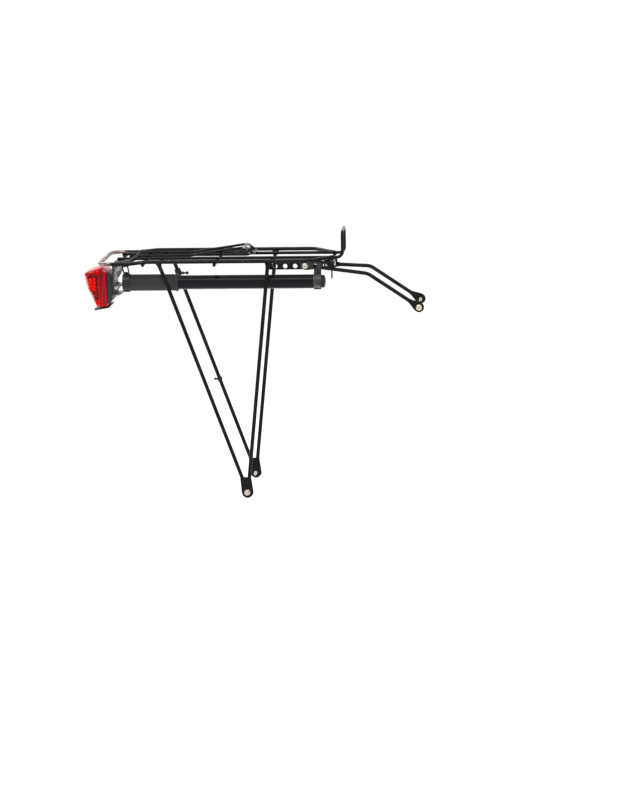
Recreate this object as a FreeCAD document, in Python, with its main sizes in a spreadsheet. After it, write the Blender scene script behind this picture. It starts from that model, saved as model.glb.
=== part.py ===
import FreeCAD, Part
import math
import os
import re
import Sketcher
from FreeCAD import Placement, Rotation, Vector

# A bicycle's rear rack with a sprung luggage clip, a tail light and a frame pump.
# X points forwards, Y to the left, Z up. The origin lies on the axis of the two foot bolts, midway.
# The deck's rods lie level, and the side that carries the pump is the right side, at -Y.

sizes = {
    # overall
    "deckHeight": (368.5, "outer rail's axis above the foot bolts"),
    "railHalf": (70, "outer rail's axis from the middle"),
    "tailX": (-225.5, "axis of the tail bar"),
    "railTurn": (34, "where the outer rail turns inwards, behind the front crossbar"),
    "frontX": (138, "front crossbar"),
    "tailDrop": (3, "how far the tail lies below the deck"),
    "dropRear": (45.5, "rear end of the sloping stretch, from the tail bar"),
    "dropFront": (73.5, "front end of the sloping stretch, from the tail bar"),
    # rods
    "railRod": (6, "rod of the outer rail, stays and struts"),
    "innerRod": (5, "rod of the inner rail and the crossbars"),
    "rodGap": (0.1, "gap between rods that are welded together"),
    "tailBend": (17, "bend of the tail corners"),
    "innerHalf": (27, "inner rail's axis from the middle"),
    "innerRear": (23.5, "rear ends of the inner rail, from the tail bar"),
    "hoopOut": (16, "upright hoop in front of the front crossbar"),
    "hoopRise": (40.5, "top of the hoop's rod above the deck"),
    "hoopBend": (9, "bends of the hoop"),
    "rearCross": (26.5, "rear crossbar, from the tail bar"),
    "clipPivot": (41, "axis of the luggage clip, from the tail bar"),
    "crossAX": (-157, "crossbar behind the rear stays"),
    "crossBX": (-132, "crossbar between the rear stays"),
    "crossCX": (-44, "middle crossbar"),
    "crossDX": (43, "crossbar between the front stays"),
    "crossOver": (2, "how far the middle crossbar sticks out past the rail's axis"),
    "frontCrossInset": (19, "ends of the front crossbar inside the rail's axis"),
    # stays and feet
    "frontStayX": (40.4, "top of the front stays"),
    "rearStayX": (-132.5, "top of the rear stays"),
    "rearStayKneeX": (-124.5, "knee of the rear stays"),
    "rearStayKneeDrop": (20, "knee below the outer rail's axis"),
    "stayBend": (14, "bend of that knee"),
    "rearFootX": (-6.3, "lower end of the rear stays"),
    "frontFootX": (2.7, "lower end of the front stays"),
    "footTop": (24, "top edge of the foot plates"),
    "footPlate": (4, "thickness of the foot plates"),
    "footEye": (9.5, "radius of the eye"),
    "boltFive": (5, "foot and strut bolts"),
    "boltHole": (5.5, "their clearance holes"),
    "boltGrip": (13, "bolt's free thread past the plate"),
    "headRadius": (5, "heads of the foot and strut bolts"),
    "headHeight": (3.4, "height of those heads"),
    "washerWall": (1, "washers"),
    "washerRadius": (5, "outer radius of the washers"),
    "nutHeight": (5, "clamp nuts"),
    "nutRadius": (5.6, "clamp nuts over their corners"),
    "threadOver": (2, "thread that shows past a nut"),
    # adjuster plate and front bracket
    "plateInset": (23.65, "middle of the perforated plate inside the rail's axis"),
    "plateWall": (2.3, "its thickness"),
    "plateRearX": (38.5, "its rear end"),
    "plateOver": (3.5, "its front end past the front crossbar"),
    "plateTopDrop": (3.5, "its top edge below the deck"),
    "plateBottomDrop": (16.5, "its bottom edge below the deck"),
    "plateHole": (7, "its adjusting holes"),
    "holeX": (49.6, "rearmost hole"),
    "holePitch": (15.6, "hole to hole"),
    "holeDrop": (11.2, "row of holes below the deck"),
    "webInset": (32, "front bracket's right end inside the rail's axis"),
    "webBack": (0.5, "front bracket's middle behind the front crossbar"),
    "webWall": (2.5, "front bracket's thickness"),
    "webBottomDrop": (18.5, "front bracket's bottom edge below the deck"),
    "tabWall": (2.5, "strut tab's thickness"),
    "tabBolt": (10.5, "strut tab's bolt behind the front crossbar"),
    "tabBoltDrop": (20.9, "strut tab's bolt below the deck"),
    "tabRear": (18, "strut tab's rear end behind the front crossbar"),
    "tabOver": (3.5, "strut tab's front end past the front crossbar"),
    "tabBottomDrop": (29, "strut tab's bottom edge below the deck"),
    "seatGap": (0.2, "gap between bolted faces"),
    # struts
    "strutInset": (28, "struts' axis inside the rail's axis"),
    "strutBendOut": (56, "bend of the struts in front of the front crossbar"),
    "strutBendDrop": (24.5, "bend of the struts below the deck"),
    "strutEndX": (273.6, "bolt in the front eye"),
    "strutEndDrop": (78.1, "bolt in the front eye below the deck"),
    "strutBend": (12, "radius of that bend"),
    "eyeWall": (3, "flattened ends"),
    "eyeRadius": (6.8, "their outer radius"),
    "eyeNeck": (20, "length of the flattened stretch"),
    "clampBolt": (6, "struts' clamp bolts"),
    "frontEyeRadius": (8, "outer radius of the front eyes"),
    "runningFit": (0.05, "radial clearance of what turns"),
    # luggage clip
    "clipWire": (4, "clip's wire"),
    "clipHalf": (20.5, "clip's arms from the middle"),
    "clipLift": (3, "arms above the deck rods' axis"),
    "clipKneeX": (-87, "where the arms start to rise"),
    "noseX": (1, "top of the nose"),
    "noseLift": (15.5, "nose above the deck rods' axis"),
    "tipX": (13.5, "front of the clip"),
    "tipLift": (5.2, "tip above the deck rods' axis"),
    "clipEye": (5.8, "outer radius of the clip's eyes"),
    "springWire": (2, "torsion spring's wire"),
    "springTurns": (8, "its turns"),
    "springPitch": (2.3, "turn to turn"),
    "springInner": (31.5, "coils' inner ends from the middle"),
    "springGap": (0.4, "coils clear of the pivot rod"),
    "springLegX": (14, "where the spring's leg crosses over the arm"),
    # pump
    "pumpInset": (16.5, "pump's axis inside the rail's axis"),
    "pumpDrop": (34.5, "pump's axis below the deck"),
    "barrelRadius": (11, "pump barrel"),
    "barrelWall": (1.2, "its wall"),
    "barrelRear": (47.5, "rear end of the barrel, from the tail bar"),
    "barrelFrontX": (110, "front end of the barrel"),
    "handleRadius": (13, "pump handle"),
    "handleRear": (35, "rear end of the handle, from the tail bar"),
    "handleFrontX": (-102, "front end of the handle"),
    "handleEnd": (4, "its end wall"),
    "slideGap": (0.3, "handle's bore over the barrel"),
    "pistonX": (86, "piston when the pump is closed"),
    "pistonLength": (9, "piston's length"),
    "pistonRod": (5, "piston rod"),
    "headFrontX": (120.5, "front of the pump's head"),
    "capFrontX": (128.5, "front of the pump's cap"),
    "capRadius": (10, "pump's cap"),
    "clipFit": (0.1, "pump's clips round it"),
    "clipSheet": (1.5, "pump's clips' sheet"),
    "clipMouth": (12, "opening of the pump's clips"),
    "clipWidth": (11.5, "front clip along the pump"),
    "hangerWire": (2.2, "wire that hangs the rear clip"),
    # tail light
    "lampHalf": (28, "half width of the lamp"),
    "lampWall": (1.6, "its walls"),
    "lensPlane": (4.5, "where the lens meets the housing, from the tail bar"),
    "housingDepth": (8.5, "housing in front of the lens"),
    "lampTopDrop": (15.5, "top of the lens below the deck"),
    "lampBottomDrop": (76.5, "bottom of the lens below the deck"),
    "lightBracketOut": (14.5, "middle of the light's bracket, from the tail bar"),
    "lightBracketWall": (2, "its sheet"),
    "lightBracketHalf": (24, "half width of the light's bracket"),
    "lightFlangeOut": (30.5, "front edge of its top flange, from the tail bar"),
    "lipOut": (18.5, "middle of its curled lip, from the tail bar"),
    "lipDrop": (44.5, "middle of its curled lip below the deck"),
    "lipRadius": (16, "outer radius of the lip"),
    "gussetWall": (1.6, "its side gussets"),
    "boardSeat": (2.6, "lamp board in front of the lens"),
    "lightScrewHalf": (15, "its screws from the middle"),
    "lightScrewDrop": (47.5, "its screws below the deck"),
    "lightScrew": (4, "its screws"),
    # mudguard strap and cable guides
    "strapWall": (1.9, "strap's thickness"),
    "strapHalf": (6, "half width of the strap"),
    "strapDrop": (19, "strap below the front bracket"),
    "guideDown": (16, "cable guide down the stay from the knee"),
    "hookDrop": (212.5, "cable hook below the deck"),
}

# Places that follow the sizes above
follows = {
    "railBendX": "frontX - railTurn",
    "dropRearX": "tailX + dropRear",
    "dropFrontX": "tailX + dropFront",
    "innerRearX": "tailX + innerRear",
    "hoopX": "frontX + hoopOut",
    "rearCrossX": "tailX + rearCross",
    "clipPivotX": "tailX + clipPivot",
    "frontCrossHalf": "railHalf - frontCrossInset",
    "plateY": "plateInset - railHalf",
    "plateFrontX": "frontX + plateOver",
    "plateTop": "deckHeight - plateTopDrop",
    "plateBottom": "deckHeight - plateBottomDrop",
    "holeZ": "deckHeight - holeDrop",
    "webHalf": "railHalf - webInset",
    "webX": "frontX - webBack",
    "webTop": "deckHeight - railRod / 2 - innerRod - rodGap - seatGap",
    "webBottom": "deckHeight - webBottomDrop",
    "tabX": "frontX - tabBolt",
    "tabZ": "deckHeight - tabBoltDrop",
    "tabRearX": "frontX - tabRear",
    "tabFrontX": "frontX + tabOver",
    "tabBottom": "deckHeight - tabBottomDrop",
    "strutHalf": "railHalf - strutInset",
    "strutBendX": "frontX + strutBendOut",
    "strutBendZ": "deckHeight - strutBendDrop",
    "strutEndZ": "deckHeight - strutEndDrop",
    "pumpY": "pumpInset - railHalf",
    "pumpZ": "deckHeight - pumpDrop",
    "barrelRearX": "tailX + barrelRear",
    "handleRearX": "tailX + handleRear",
    "lensX": "tailX + lensPlane",
    "lampTop": "deckHeight - lampTopDrop",
    "lampBottom": "deckHeight - lampBottomDrop",
    "lightBracketX": "tailX + lightBracketOut",
    "lightBracketFrontX": "tailX + lightFlangeOut",
    "lipX": "tailX + lipOut",
    "lipZ": "deckHeight - lipDrop",
    "lightScrewZ": "deckHeight - lightScrewDrop",
    "hookZ": "deckHeight - hookDrop",
}

doc = FreeCAD.newDocument("RearRack")
sheet = doc.addObject("Spreadsheet::Sheet", "Sizes")
for row, (alias, (value, note)) in enumerate(sizes.items(), start=1):
    sheet.set(f"A{row}", alias)
    sheet.set(f"B{row}", str(value))
    sheet.set(f"C{row}", note)
    sheet.setAlias(f"B{row}", alias)
doc.recompute()

nodes = []


# An expression with the places that follow others spelt out.
def spelled(expression):
    return re.sub(r"[A-Za-z]\w*", lambda word: f"({follows[word[0]]})" if word[0] in follows else word[0],
                  str(expression))


# Value of an expression in the sheet's names.
def size(expression):
    return float(sheet.evalExpression(spelled(expression)))


# The same expression as other objects of the document write it.
def bound(expression):
    return re.sub(r"[A-Za-z]\w*", lambda word: f"Sizes.{word[0]}" if word[0] in sizes else word[0],
                  spelled(expression))


# Gives an object its node name and, by expressions, its place.
def finish(thing, label, x=0, y=0, z=0):
    thing.Label = label
    for axis, expression in zip("xyz", (x, y, z)):
        if expression != 0:
            thing.setExpression(f"Placement.Base.{axis}", bound(expression))
    nodes.append(thing)
    return thing


# Building blocks: sketches whose every corner, centre and radius is an expression

def newBody(name):
    return doc.addObject("PartDesign::Body", name + "Body")


def newSketch(body, plane):
    origin = [item for item in body.Origin.OriginFeatures if item.Role == plane][0]
    sketch = body.newObject("Sketcher::SketchObject", body.Name + "Sketch")
    sketch.AttachmentSupport = (origin, [""])
    sketch.MapMode = "FlatFace"
    return sketch


def pin(sketch, kind, geometry, point, expression):
    index = sketch.addConstraint(Sketcher.Constraint(kind, geometry, point, size(expression)))
    sketch.setExpression(f"Constraints[{index}]", bound(expression))


def addPolygon(sketch, corners):
    places = [Vector(size(x), size(y), 0) for x, y in corners]
    first = sketch.GeometryCount
    count = len(corners)
    for index in range(count):
        sketch.addGeometry(Part.LineSegment(places[index], places[(index + 1) % count]), False)
    for index, (x, y) in enumerate(corners):
        line = first + index
        after = first + (index + 1) % count
        sketch.addConstraint(Sketcher.Constraint("Coincident", line, 2, after, 1))
        pin(sketch, "DistanceX", line, 1, x)
        pin(sketch, "DistanceY", line, 1, y)


def addCircle(sketch, x, y, radius):
    line = sketch.GeometryCount
    sketch.addGeometry(Part.Circle(Vector(size(x), size(y), 0), Vector(0, 0, 1), size(radius)), False)
    index = sketch.addConstraint(Sketcher.Constraint("Radius", line, size(radius)))
    sketch.setExpression(f"Constraints[{index}]", bound(radius))
    pin(sketch, "DistanceX", line, 3, x)
    pin(sketch, "DistanceY", line, 3, y)


# A plate that lies across one of the row's axes, with round holes.
def plate(label, plane, corners, thickness, holes=(), **place):
    body = newBody(label)
    sketch = newSketch(body, plane)
    addPolygon(sketch, corners)
    for hole in holes:
        addCircle(sketch, *hole)
    pad = body.newObject("PartDesign::Pad", body.Name + "Pad")
    pad.Profile = sketch
    pad.SideType = "Symmetric"
    pad.setExpression("Length", bound(thickness))
    return finish(body, label, **place)


# A turned piece: the corners are (along the axis, radius), and the axis is the row's X.
def turned(label, corners, **place):
    body = newBody(label)
    sketch = newSketch(body, "XY_Plane")
    addPolygon(sketch, corners)
    turn = body.newObject("PartDesign::Revolution", body.Name + "Turn")
    turn.Profile = sketch
    turn.ReferenceAxis = (sketch, ["H_Axis"])
    turn.Angle = 360
    return finish(body, label, **place)


# A straight round rod along Y.
def crossRod(label, x, z, radius, half):
    rod = doc.addObject("Part::Cylinder", label + "Rod")
    rod.setExpression("Radius", bound(radius))
    rod.setExpression("Height", bound(f"2 * ({half})"))
    rod.Placement.Rotation = Rotation(Vector(1, 0, 0), -90)
    return finish(rod, label, x=x, y=f"-({half})", z=z)


# Bent wire: a round section swept along straight stretches that are joined by arcs

def arcJoined(points, bend):
    edges = []
    start = points[0]
    for before, corner, after in zip(points, points[1:], points[2:]):
        inward = (before - corner).normalize()
        outward = (after - corner).normalize()
        half = inward.getAngle(outward) / 2
        reach = bend / math.tan(half)
        enter = corner + inward * reach
        leave = corner + outward * reach
        centre = corner + (inward + outward).normalize() * (bend / math.sin(half))
        middle = centre + (corner - centre).normalize() * bend
        edges.append(Part.LineSegment(start, enter).toShape())
        edges.append(Part.Arc(enter, middle, leave).toShape())
        start = leave
    edges.append(Part.LineSegment(start, points[-1]).toShape())
    return Part.Wire(edges)


def sweptRound(path, diameter):
    first = path.Edges[0]
    start = first.valueAt(first.FirstParameter)
    along = first.tangentAt(first.FirstParameter)
    section = Part.Wire(Part.makeCircle(diameter / 2, start, along))
    pipe = Part.BRepOffsetAPI.MakePipeShell(path)
    pipe.setFrenetMode(False)
    pipe.add(section)
    pipe.build()
    pipe.makeSolid()
    return pipe.shape()


def place3(x, y, z):
    return Vector(size(x), size(y), size(z))


def mirrored(points):
    return [Vector(point.x, -point.y, point.z) for point in reversed(points)]


def solidFeature(label, shape):
    feature = doc.addObject("Part::Feature", label + "Solid")
    feature.Shape = shape
    return finish(feature, label)


def bentRod(label, points, bend, diameter):
    return solidFeature(label, sweptRound(arcJoined(points, size(bend)), size(diameter)))


# Deck: an outer rail that closes round the tail, an inner rail with the upright hoop, and crossbars

# A long cylinder along X, to cope a rod's end where it meets a rail.
def longRod(x, y, z, radius):
    length = 2 * size("frontX - tailX")
    start = place3(x, y, z) - Vector(length / 2, 0, 0)
    return Part.makeCylinder(size(radius), length, start, Vector(1, 0, 0))


rodUnder = "deckHeight - railRod / 2"
innerZ = f"({rodUnder}) + innerRod / 2"
crossZ = f"({rodUnder}) - innerRod / 2 - rodGap"


def outerRail():
    tailZ = "deckHeight - tailDrop"
    side = [
        place3("frontX", "-innerHalf", "deckHeight"),
        place3("railBendX", "-railHalf", "deckHeight"),
        place3("dropFrontX", "-railHalf", "deckHeight"),
        place3("dropRearX", "-railHalf", tailZ),
        place3("tailX", "-railHalf", tailZ),
    ]
    rail = sweptRound(arcJoined(side + mirrored(side), size("tailBend")), size("railRod"))
    clear = "innerRod / 2 + rodGap"
    innerRods = [longRod("railBendX", f"{sign} * innerHalf", innerZ, clear) for sign in (-1, 1)]
    solidFeature("outer_rail", rail.cut(innerRods))


def innerRail():
    top = "deckHeight + hoopRise"
    side = [
        place3("innerRearX", "-innerHalf", innerZ),
        place3("hoopX", "-innerHalf", innerZ),
        place3("hoopX", "-innerHalf", top),
    ]
    bentRod("inner_rail_hoop", side + mirrored(side), "hoopBend", "innerRod")


def crossbars():
    radius = "innerRod / 2"
    insideRail = "railHalf - railRod / 2 - rodGap"
    besideStay = "railHalf - railRod / 2 - 3 * rodGap"
    crossRod("rear_crossbar", "rearCrossX", crossZ, radius, insideRail)
    crossRod("clip_pivot_rod", "clipPivotX", crossZ, radius, insideRail)
    crossRod("crossbar_tail", "crossAX", crossZ, radius, insideRail)
    crossRod("crossbar_rear_stays", "crossBX", crossZ, radius, besideStay)
    crossRod("crossbar_middle", "crossCX", crossZ, radius, "railHalf + crossOver")
    crossRod("crossbar_front_stays", "crossDX", crossZ, radius, besideStay)
    crossRod("front_crossbar", "frontX", crossZ, radius, "frontCrossHalf")


outerRail()
innerRail()
crossbars()


# Stays, feet and their bolts, on both sides

sides = {"right": -1, "left": 1}


def stays(side, sign):
    y = f"{sign} * railHalf"
    top = "deckHeight"
    bottom = "footTop - railRod"
    front = [place3("frontStayX", y, top), place3("frontFootX", y, bottom)]
    rear = [
        place3("rearStayX", y, top),
        place3("rearStayKneeX", y, "deckHeight - rearStayKneeDrop"),
        place3("rearFootX", y, bottom),
    ]
    reach = size("deckHeight")
    corner = place3("-deckHeight", f"{y} - deckHeight", "footTop + rodGap - deckHeight")
    below = Part.makeBox(2 * reach, 2 * reach, reach, corner)
    coping = [longRod("0", y, "deckHeight", "railRod / 2 + rodGap"), below]
    rod = size("railRod")
    frontRod = sweptRound(Part.Wire(Part.LineSegment(*front).toShape()), rod)
    solidFeature(f"front_stay_{side}", lowerPart(frontRod.cut(coping)))
    rearRod = sweptRound(arcJoined(rear, size("stayBend")), rod)
    solidFeature(f"rear_stay_{side}", lowerPart(rearRod.cut(coping)))


# The piece of a cut rod that lies below the rail.
def lowerPart(shape):
    return max(shape.Solids, key=lambda solid: solid.Volume)


def footPlate(side, sign):
    flat = "0.42 * footEye"
    corners = [
        ("rearFootX - railRod", "footTop"),
        ("-footEye", flat),
        ("-footEye", f"-{flat}"),
        (f"-{flat}", "-footEye"),
        (flat, "-footEye"),
        ("footEye", f"-{flat}"),
        ("footEye", flat),
        ("frontFootX + 2 / 3 * railRod", "footTop"),
    ]
    hole = [("0", "0", "boltHole / 2")]
    plate(f"foot_plate_{side}", "XZ_Plane", corners, "footPlate", hole, y=f"{sign} * railHalf")


for side, sign in sides.items():
    stays(side, sign)
    footPlate(side, sign)


# Hexagon and pan-head bolts along Y, made once per group of equal ones

recessShare = 0.5       # of the head's radius
recessDepth = 0.6       # of the head's height
headRounding = 0.35     # of the head's height
alongY = Vector(0, 1, 0)
middle = Vector(0, 0, 0)


def boltShape(shank, length, headRadius, headHeight):
    stem = Part.makeCylinder(shank / 2, length, middle, alongY)
    head = Part.makeCylinder(headRadius, headHeight, middle, -alongY)
    top = -alongY * headHeight
    recess = Part.makeCylinder(headRadius * recessShare, headHeight * recessDepth, top, alongY)
    head = head.makeFillet(headHeight * headRounding, [head.Edges[0]]).cut(recess)
    return stem.fuse(head).removeSplitter()


def ringShape(inner, outer, thickness):
    body = Part.makeCylinder(outer, thickness, middle, alongY)
    return body.cut(Part.makeCylinder(inner, thickness, middle, alongY))


def hexNut(inner, outer, thickness):
    turns = [math.pi * step / 3 for step in range(7)]
    outline = [Vector(outer * math.cos(turn), 0, outer * math.sin(turn)) for turn in turns]
    body = Part.Face(Part.makePolygon(outline)).extrude(alongY * thickness)
    return body.cut(Part.makeCylinder(inner, thickness, middle, alongY))


# Moves a piece made round the origin to its place; sign -1 keeps it, 1 turns it to face the left side.
def seated(shape, x, y, z, sign=-1):
    copy = shape.copy()
    if sign > 0:
        copy.rotate(middle, Vector(0, 0, 1), 180)
    copy.translate(Vector(x, y, z))
    return copy


def footFasteners():
    washer = size("washerWall")
    seat = size("railHalf + footPlate / 2") + washer
    length = size("footPlate + boltGrip") + washer
    bolt = boltShape(size("boltFive"), length, size("headRadius"), size("headHeight"))
    ring = ringShape(size("boltHole / 2"), size("washerRadius"), washer)
    bolts = [seated(bolt, 0, sign * seat, 0, sign) for sign in sides.values()]
    rings = [seated(ring, 0, sign * seat, 0, sign) for sign in sides.values()]
    solidFeature("foot_bolts", Part.makeCompound(bolts))
    solidFeature("foot_washers", Part.makeCompound(rings))


footFasteners()


# Perforated plate on the right, front bracket, and the tab that holds the left strut

def sidePlate():
    body = newBody("side_plate")
    sketch = newSketch(body, "XZ_Plane")
    addPolygon(sketch, [
        ("plateRearX", "plateBottom"),
        ("plateFrontX", "plateBottom"),
        ("plateFrontX", "plateTop"),
        ("plateRearX", "plateTop"),
    ])
    for index in range(6):
        addCircle(sketch, f"holeX + {index} * holePitch", "holeZ", "plateHole / 2")
    pad = body.newObject("PartDesign::Pad", "SidePlatePad")
    pad.Profile = sketch
    pad.SideType = "Symmetric"
    pad.setExpression("Length", bound("plateWall"))
    notches = newSketch(body, "XZ_Plane")
    for x in ("crossDX", "frontX"):
        addPolygon(notches, [
            (f"{x} - innerRod / 2 - rodGap", f"({crossZ}) - innerRod / 2 - rodGap"),
            (f"{x} + innerRod / 2 + rodGap", f"({crossZ}) - innerRod / 2 - rodGap"),
            (f"{x} + innerRod / 2 + rodGap", "plateTop + 1"),
            (f"{x} - innerRod / 2 - rodGap", "plateTop + 1"),
        ])
    cut = body.newObject("PartDesign::Pocket", "SidePlateNotches")
    cut.Profile = notches
    cut.SideType = "Symmetric"
    cut.setExpression("Length", bound("plateWall + 2"))
    finish(body, "side_plate", y="plateY")


def frontBracket():
    reach = "strutHalf - seatGap - tabWall - rodGap"
    plate("front_bracket", "YZ_Plane", [
        ("-webHalf", "webBottom"),
        (reach, "webBottom"),
        (reach, "webTop"),
        ("-webHalf", "webTop"),
    ], "webWall", [("0", "webBottom / 2 + webTop / 2", "boltHole / 2")], x="webX")


def strutTab():
    plate("strut_tab", "XZ_Plane", [
        ("tabRearX", "tabBottom + 4"),
        ("tabRearX + 4", "tabBottom"),
        ("tabFrontX - 6", "tabBottom"),
        ("tabFrontX", "tabBottom + 6"),
        ("tabFrontX", "webTop"),
        ("tabRearX", "webTop"),
    ], "tabWall", [("tabX", "tabZ", "clampBolt / 2 + seatGap")], y="strutHalf - seatGap - tabWall / 2")


sidePlate()
frontBracket()
strutTab()


# Struts: a bent rod whose two ends are flattened to eyes, and the bolts that hold them

strutRear = {
    "right": ("holeX + 3 * holePitch", "holeZ"),
    "left": ("tabX", "tabZ"),
}
tongueShare = 0.96      # of the eye's radius, where the tongue starts
neckOverlap = 4         # how far the round rod reaches into the flattened stretch


# A flattened end: a tapering tongue along the rod with a round eye.
def eyeShape(eye, toward, eyeRadius, hole, sign):
    wall = size("eyeWall")
    half = size("railRod / 2")
    inner = sign * size("strutHalf")
    along = (toward - eye).normalize()
    across = Vector(-along.z, 0, along.x)
    neck = eye + along * size("eyeNeck")
    corners = [
        eye + across * eyeRadius * tongueShare,
        neck + across * half,
        neck - across * half,
        eye - across * eyeRadius * tongueShare,
    ]
    outline = [Vector(corner.x, inner, corner.z) for corner in corners + corners[:1]]
    tongue = Part.Face(Part.makePolygon(outline)).extrude(Vector(0, sign * wall, 0))
    outward = Vector(0, sign, 0)
    centre = Vector(eye.x, inner, eye.z)
    disc = Part.makeCylinder(eyeRadius, wall, centre, outward)
    return tongue.fuse(disc), Part.makeCylinder(hole, wall + 2, centre - outward, outward)


def strut(side, sign):
    y = f"{sign} * strutHalf"
    rear = place3(strutRear[side][0], y, strutRear[side][1])
    bend = place3("strutBendX", y, "strutBendZ")
    front = place3("strutEndX", y, "strutEndZ")
    neck = size("eyeNeck") - neckOverlap
    path = [rear + (bend - rear).normalize() * neck, bend, front + (bend - front).normalize() * neck]
    rod = sweptRound(arcJoined(path, size("strutBend")), size("railRod"))
    rearBore = size("clampBolt / 2 + runningFit")
    frontBore = size("boltFive / 2 + runningFit")
    rearEye, rearHole = eyeShape(rear, bend, size("eyeRadius"), rearBore, sign)
    frontEye, frontHole = eyeShape(front, bend, size("frontEyeRadius"), frontBore, sign)
    whole = rod.fuse([rearEye, frontEye]).removeSplitter()
    solidFeature(f"strut_{side}", whole.cut([rearHole, frontHole]))


# The right strut hangs on the perforated plate, outside a washer; the left one on its tab.
def clampFasteners():
    gap = size("seatGap")
    grip = size("clampBolt")
    washer = size("washerWall")
    nutHeight = size("nutHeight")
    past = nutHeight + gap + size("threadOver")
    strutSide = size("strutHalf")
    rightX, rightZ = (size(value) for value in strutRear["right"])
    rightSeat = size("-plateY + plateWall / 2 + clipSheet + 2 * rodGap")
    rightLength = rightSeat - strutSide + washer + past + gap
    rightBolt = boltShape(grip, rightLength, size("headRadius"), size("headHeight"))
    leftX, leftZ = (size(value) for value in strutRear["left"])
    leftSeat = size("strutHalf + eyeWall") + gap
    tabFace = size("strutHalf - seatGap - tabWall")
    leftBolt = boltShape(grip, leftSeat - tabFace + past, size("headRadius"), size("headHeight"))
    bolts = [seated(rightBolt, rightX, -rightSeat, rightZ), seated(leftBolt, leftX, leftSeat, leftZ, 1)]
    solidFeature("clamp_bolts", Part.makeCompound(bolts))
    nut = hexNut(grip / 2 + size("runningFit"), size("nutRadius"), nutHeight)
    rightNut = seated(nut, rightX, 2 * gap + washer - strutSide, rightZ)
    leftNut = seated(nut, leftX, tabFace - gap, leftZ, 1)
    solidFeature("clamp_nuts", Part.makeCompound([rightNut, leftNut]))
    ring = ringShape(grip / 2 + gap, size("washerRadius"), washer)
    solidFeature("clamp_washer", seated(ring, rightX, gap - strutSide, rightZ))


def strutEndBolt(side, sign):
    gap = size("seatGap")
    seat = size("strutHalf + eyeWall") + gap
    length = size("eyeWall + boltGrip") + gap
    bolt = boltShape(size("boltFive"), length, size("headRadius"), size("headHeight"))
    placed = seated(bolt, size("strutEndX"), sign * seat, size("strutEndZ"), sign)
    solidFeature(f"strut_end_bolt_{side}", placed)


for side, sign in sides.items():
    strut(side, sign)
    strutEndBolt(side, sign)
clampFasteners()


# Luggage clip: a bent wire with two eyes on the pivot rod, its nose bar, a lower bow and two springs

armZ = "deckHeight + clipLift"


def clipArms():
    y = "-clipHalf"
    side = [
        place3("clipPivotX + clipEye - clipWire / 2", y, f"({crossZ}) + 1.5"),
        place3("clipPivotX + 18", y, armZ),
        place3("clipKneeX", y, armZ),
        place3("noseX", y, "deckHeight + noseLift"),
        place3("tipX", y, "deckHeight + tipLift"),
    ]
    width = size("clipWire")
    wire = sweptRound(arcJoined(side + mirrored(side), 1.5 * width), width)
    eyes = []
    bores = []
    for sign in sides.values():
        start = place3("clipPivotX", f"{sign} * clipHalf - clipWire / 2", crossZ)
        eyes.append(Part.makeCylinder(size("clipEye"), width, start, alongY))
        bores.append(Part.makeCylinder(size("innerRod / 2 + runningFit"), width, start, alongY))
    solidFeature("clip_arms", wire.fuse(eyes).cut(bores))


def clipCrossWires():
    half = "clipHalf - clipWire / 2 - rodGap"
    crossRod("clip_nose_bar", "noseX - 2", "deckHeight + noseLift - 1", "clipWire / 2", half)
    inset = "clipHalf - clipWire - rodGap"
    side = [place3("clipKneeX", f"-({inset})", armZ), place3("noseX + 4", f"-({inset})", armZ)]
    bentRod("clip_lower_bow", side + mirrored(side), "1.5 * clipWire", "clipWire - 0.5")


def clipSpring(side, sign):
    wire = size("springWire")
    coilRadius = size("innerRod / 2 + springGap") + wire / 2
    height = size("springTurns * springPitch")
    coil = Part.makeHelix(size("springPitch"), height, coilRadius)
    coil.rotate(middle, Vector(1, 0, 0), -90)
    coil.rotate(middle, alongY, -90)
    path = Part.Wire(coil.Edges)
    edge = path.Edges[0]
    start = edge.valueAt(edge.FirstParameter)
    pipe = Part.BRepOffsetAPI.MakePipeShell(path)
    pipe.setFrenetMode(True)
    pipe.add(Part.Wire(Part.makeCircle(wire / 2, start, edge.tangentAt(edge.FirstParameter))))
    pipe.build()
    pipe.makeSolid()
    overTop = size(f"{armZ} + clipWire / 2 + seatGap - ({crossZ})") + wire / 2
    overArm = size("clipHalf - clipWire / 2 - springInner")
    legX = size("springLegX")
    innerLeg = [
        Vector(0, 0, coilRadius),
        Vector(2 * wire, 0, coilRadius),
        Vector(legX, 0, overTop),
        Vector(legX, overArm, overTop),
    ]
    outerLeg = [
        Vector(0, height, coilRadius),
        Vector(size("rearCrossX - clipPivotX - innerRod"), height, coilRadius),
    ]
    legs = [
        sweptRound(arcJoined(innerLeg, wire * 0.9), wire),
        sweptRound(Part.Wire(Part.LineSegment(*outerLeg).toShape()), wire),
    ]
    spring = pipe.shape().fuse(legs)
    spring.translate(Vector(0, size("springInner"), 0))
    if sign < 0:
        spring = spring.mirror(middle, alongY)
    spring.translate(place3("clipPivotX", "0", crossZ))
    solidFeature(f"clip_spring_{side}", spring)


clipArms()
clipCrossWires()
for side, sign in sides.items():
    clipSpring(side, sign)


# Frame pump on the right, held by a ring at the rear and by a clip on the perforated plate

pumpPlace = {"y": "pumpY", "z": "pumpZ"}


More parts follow.
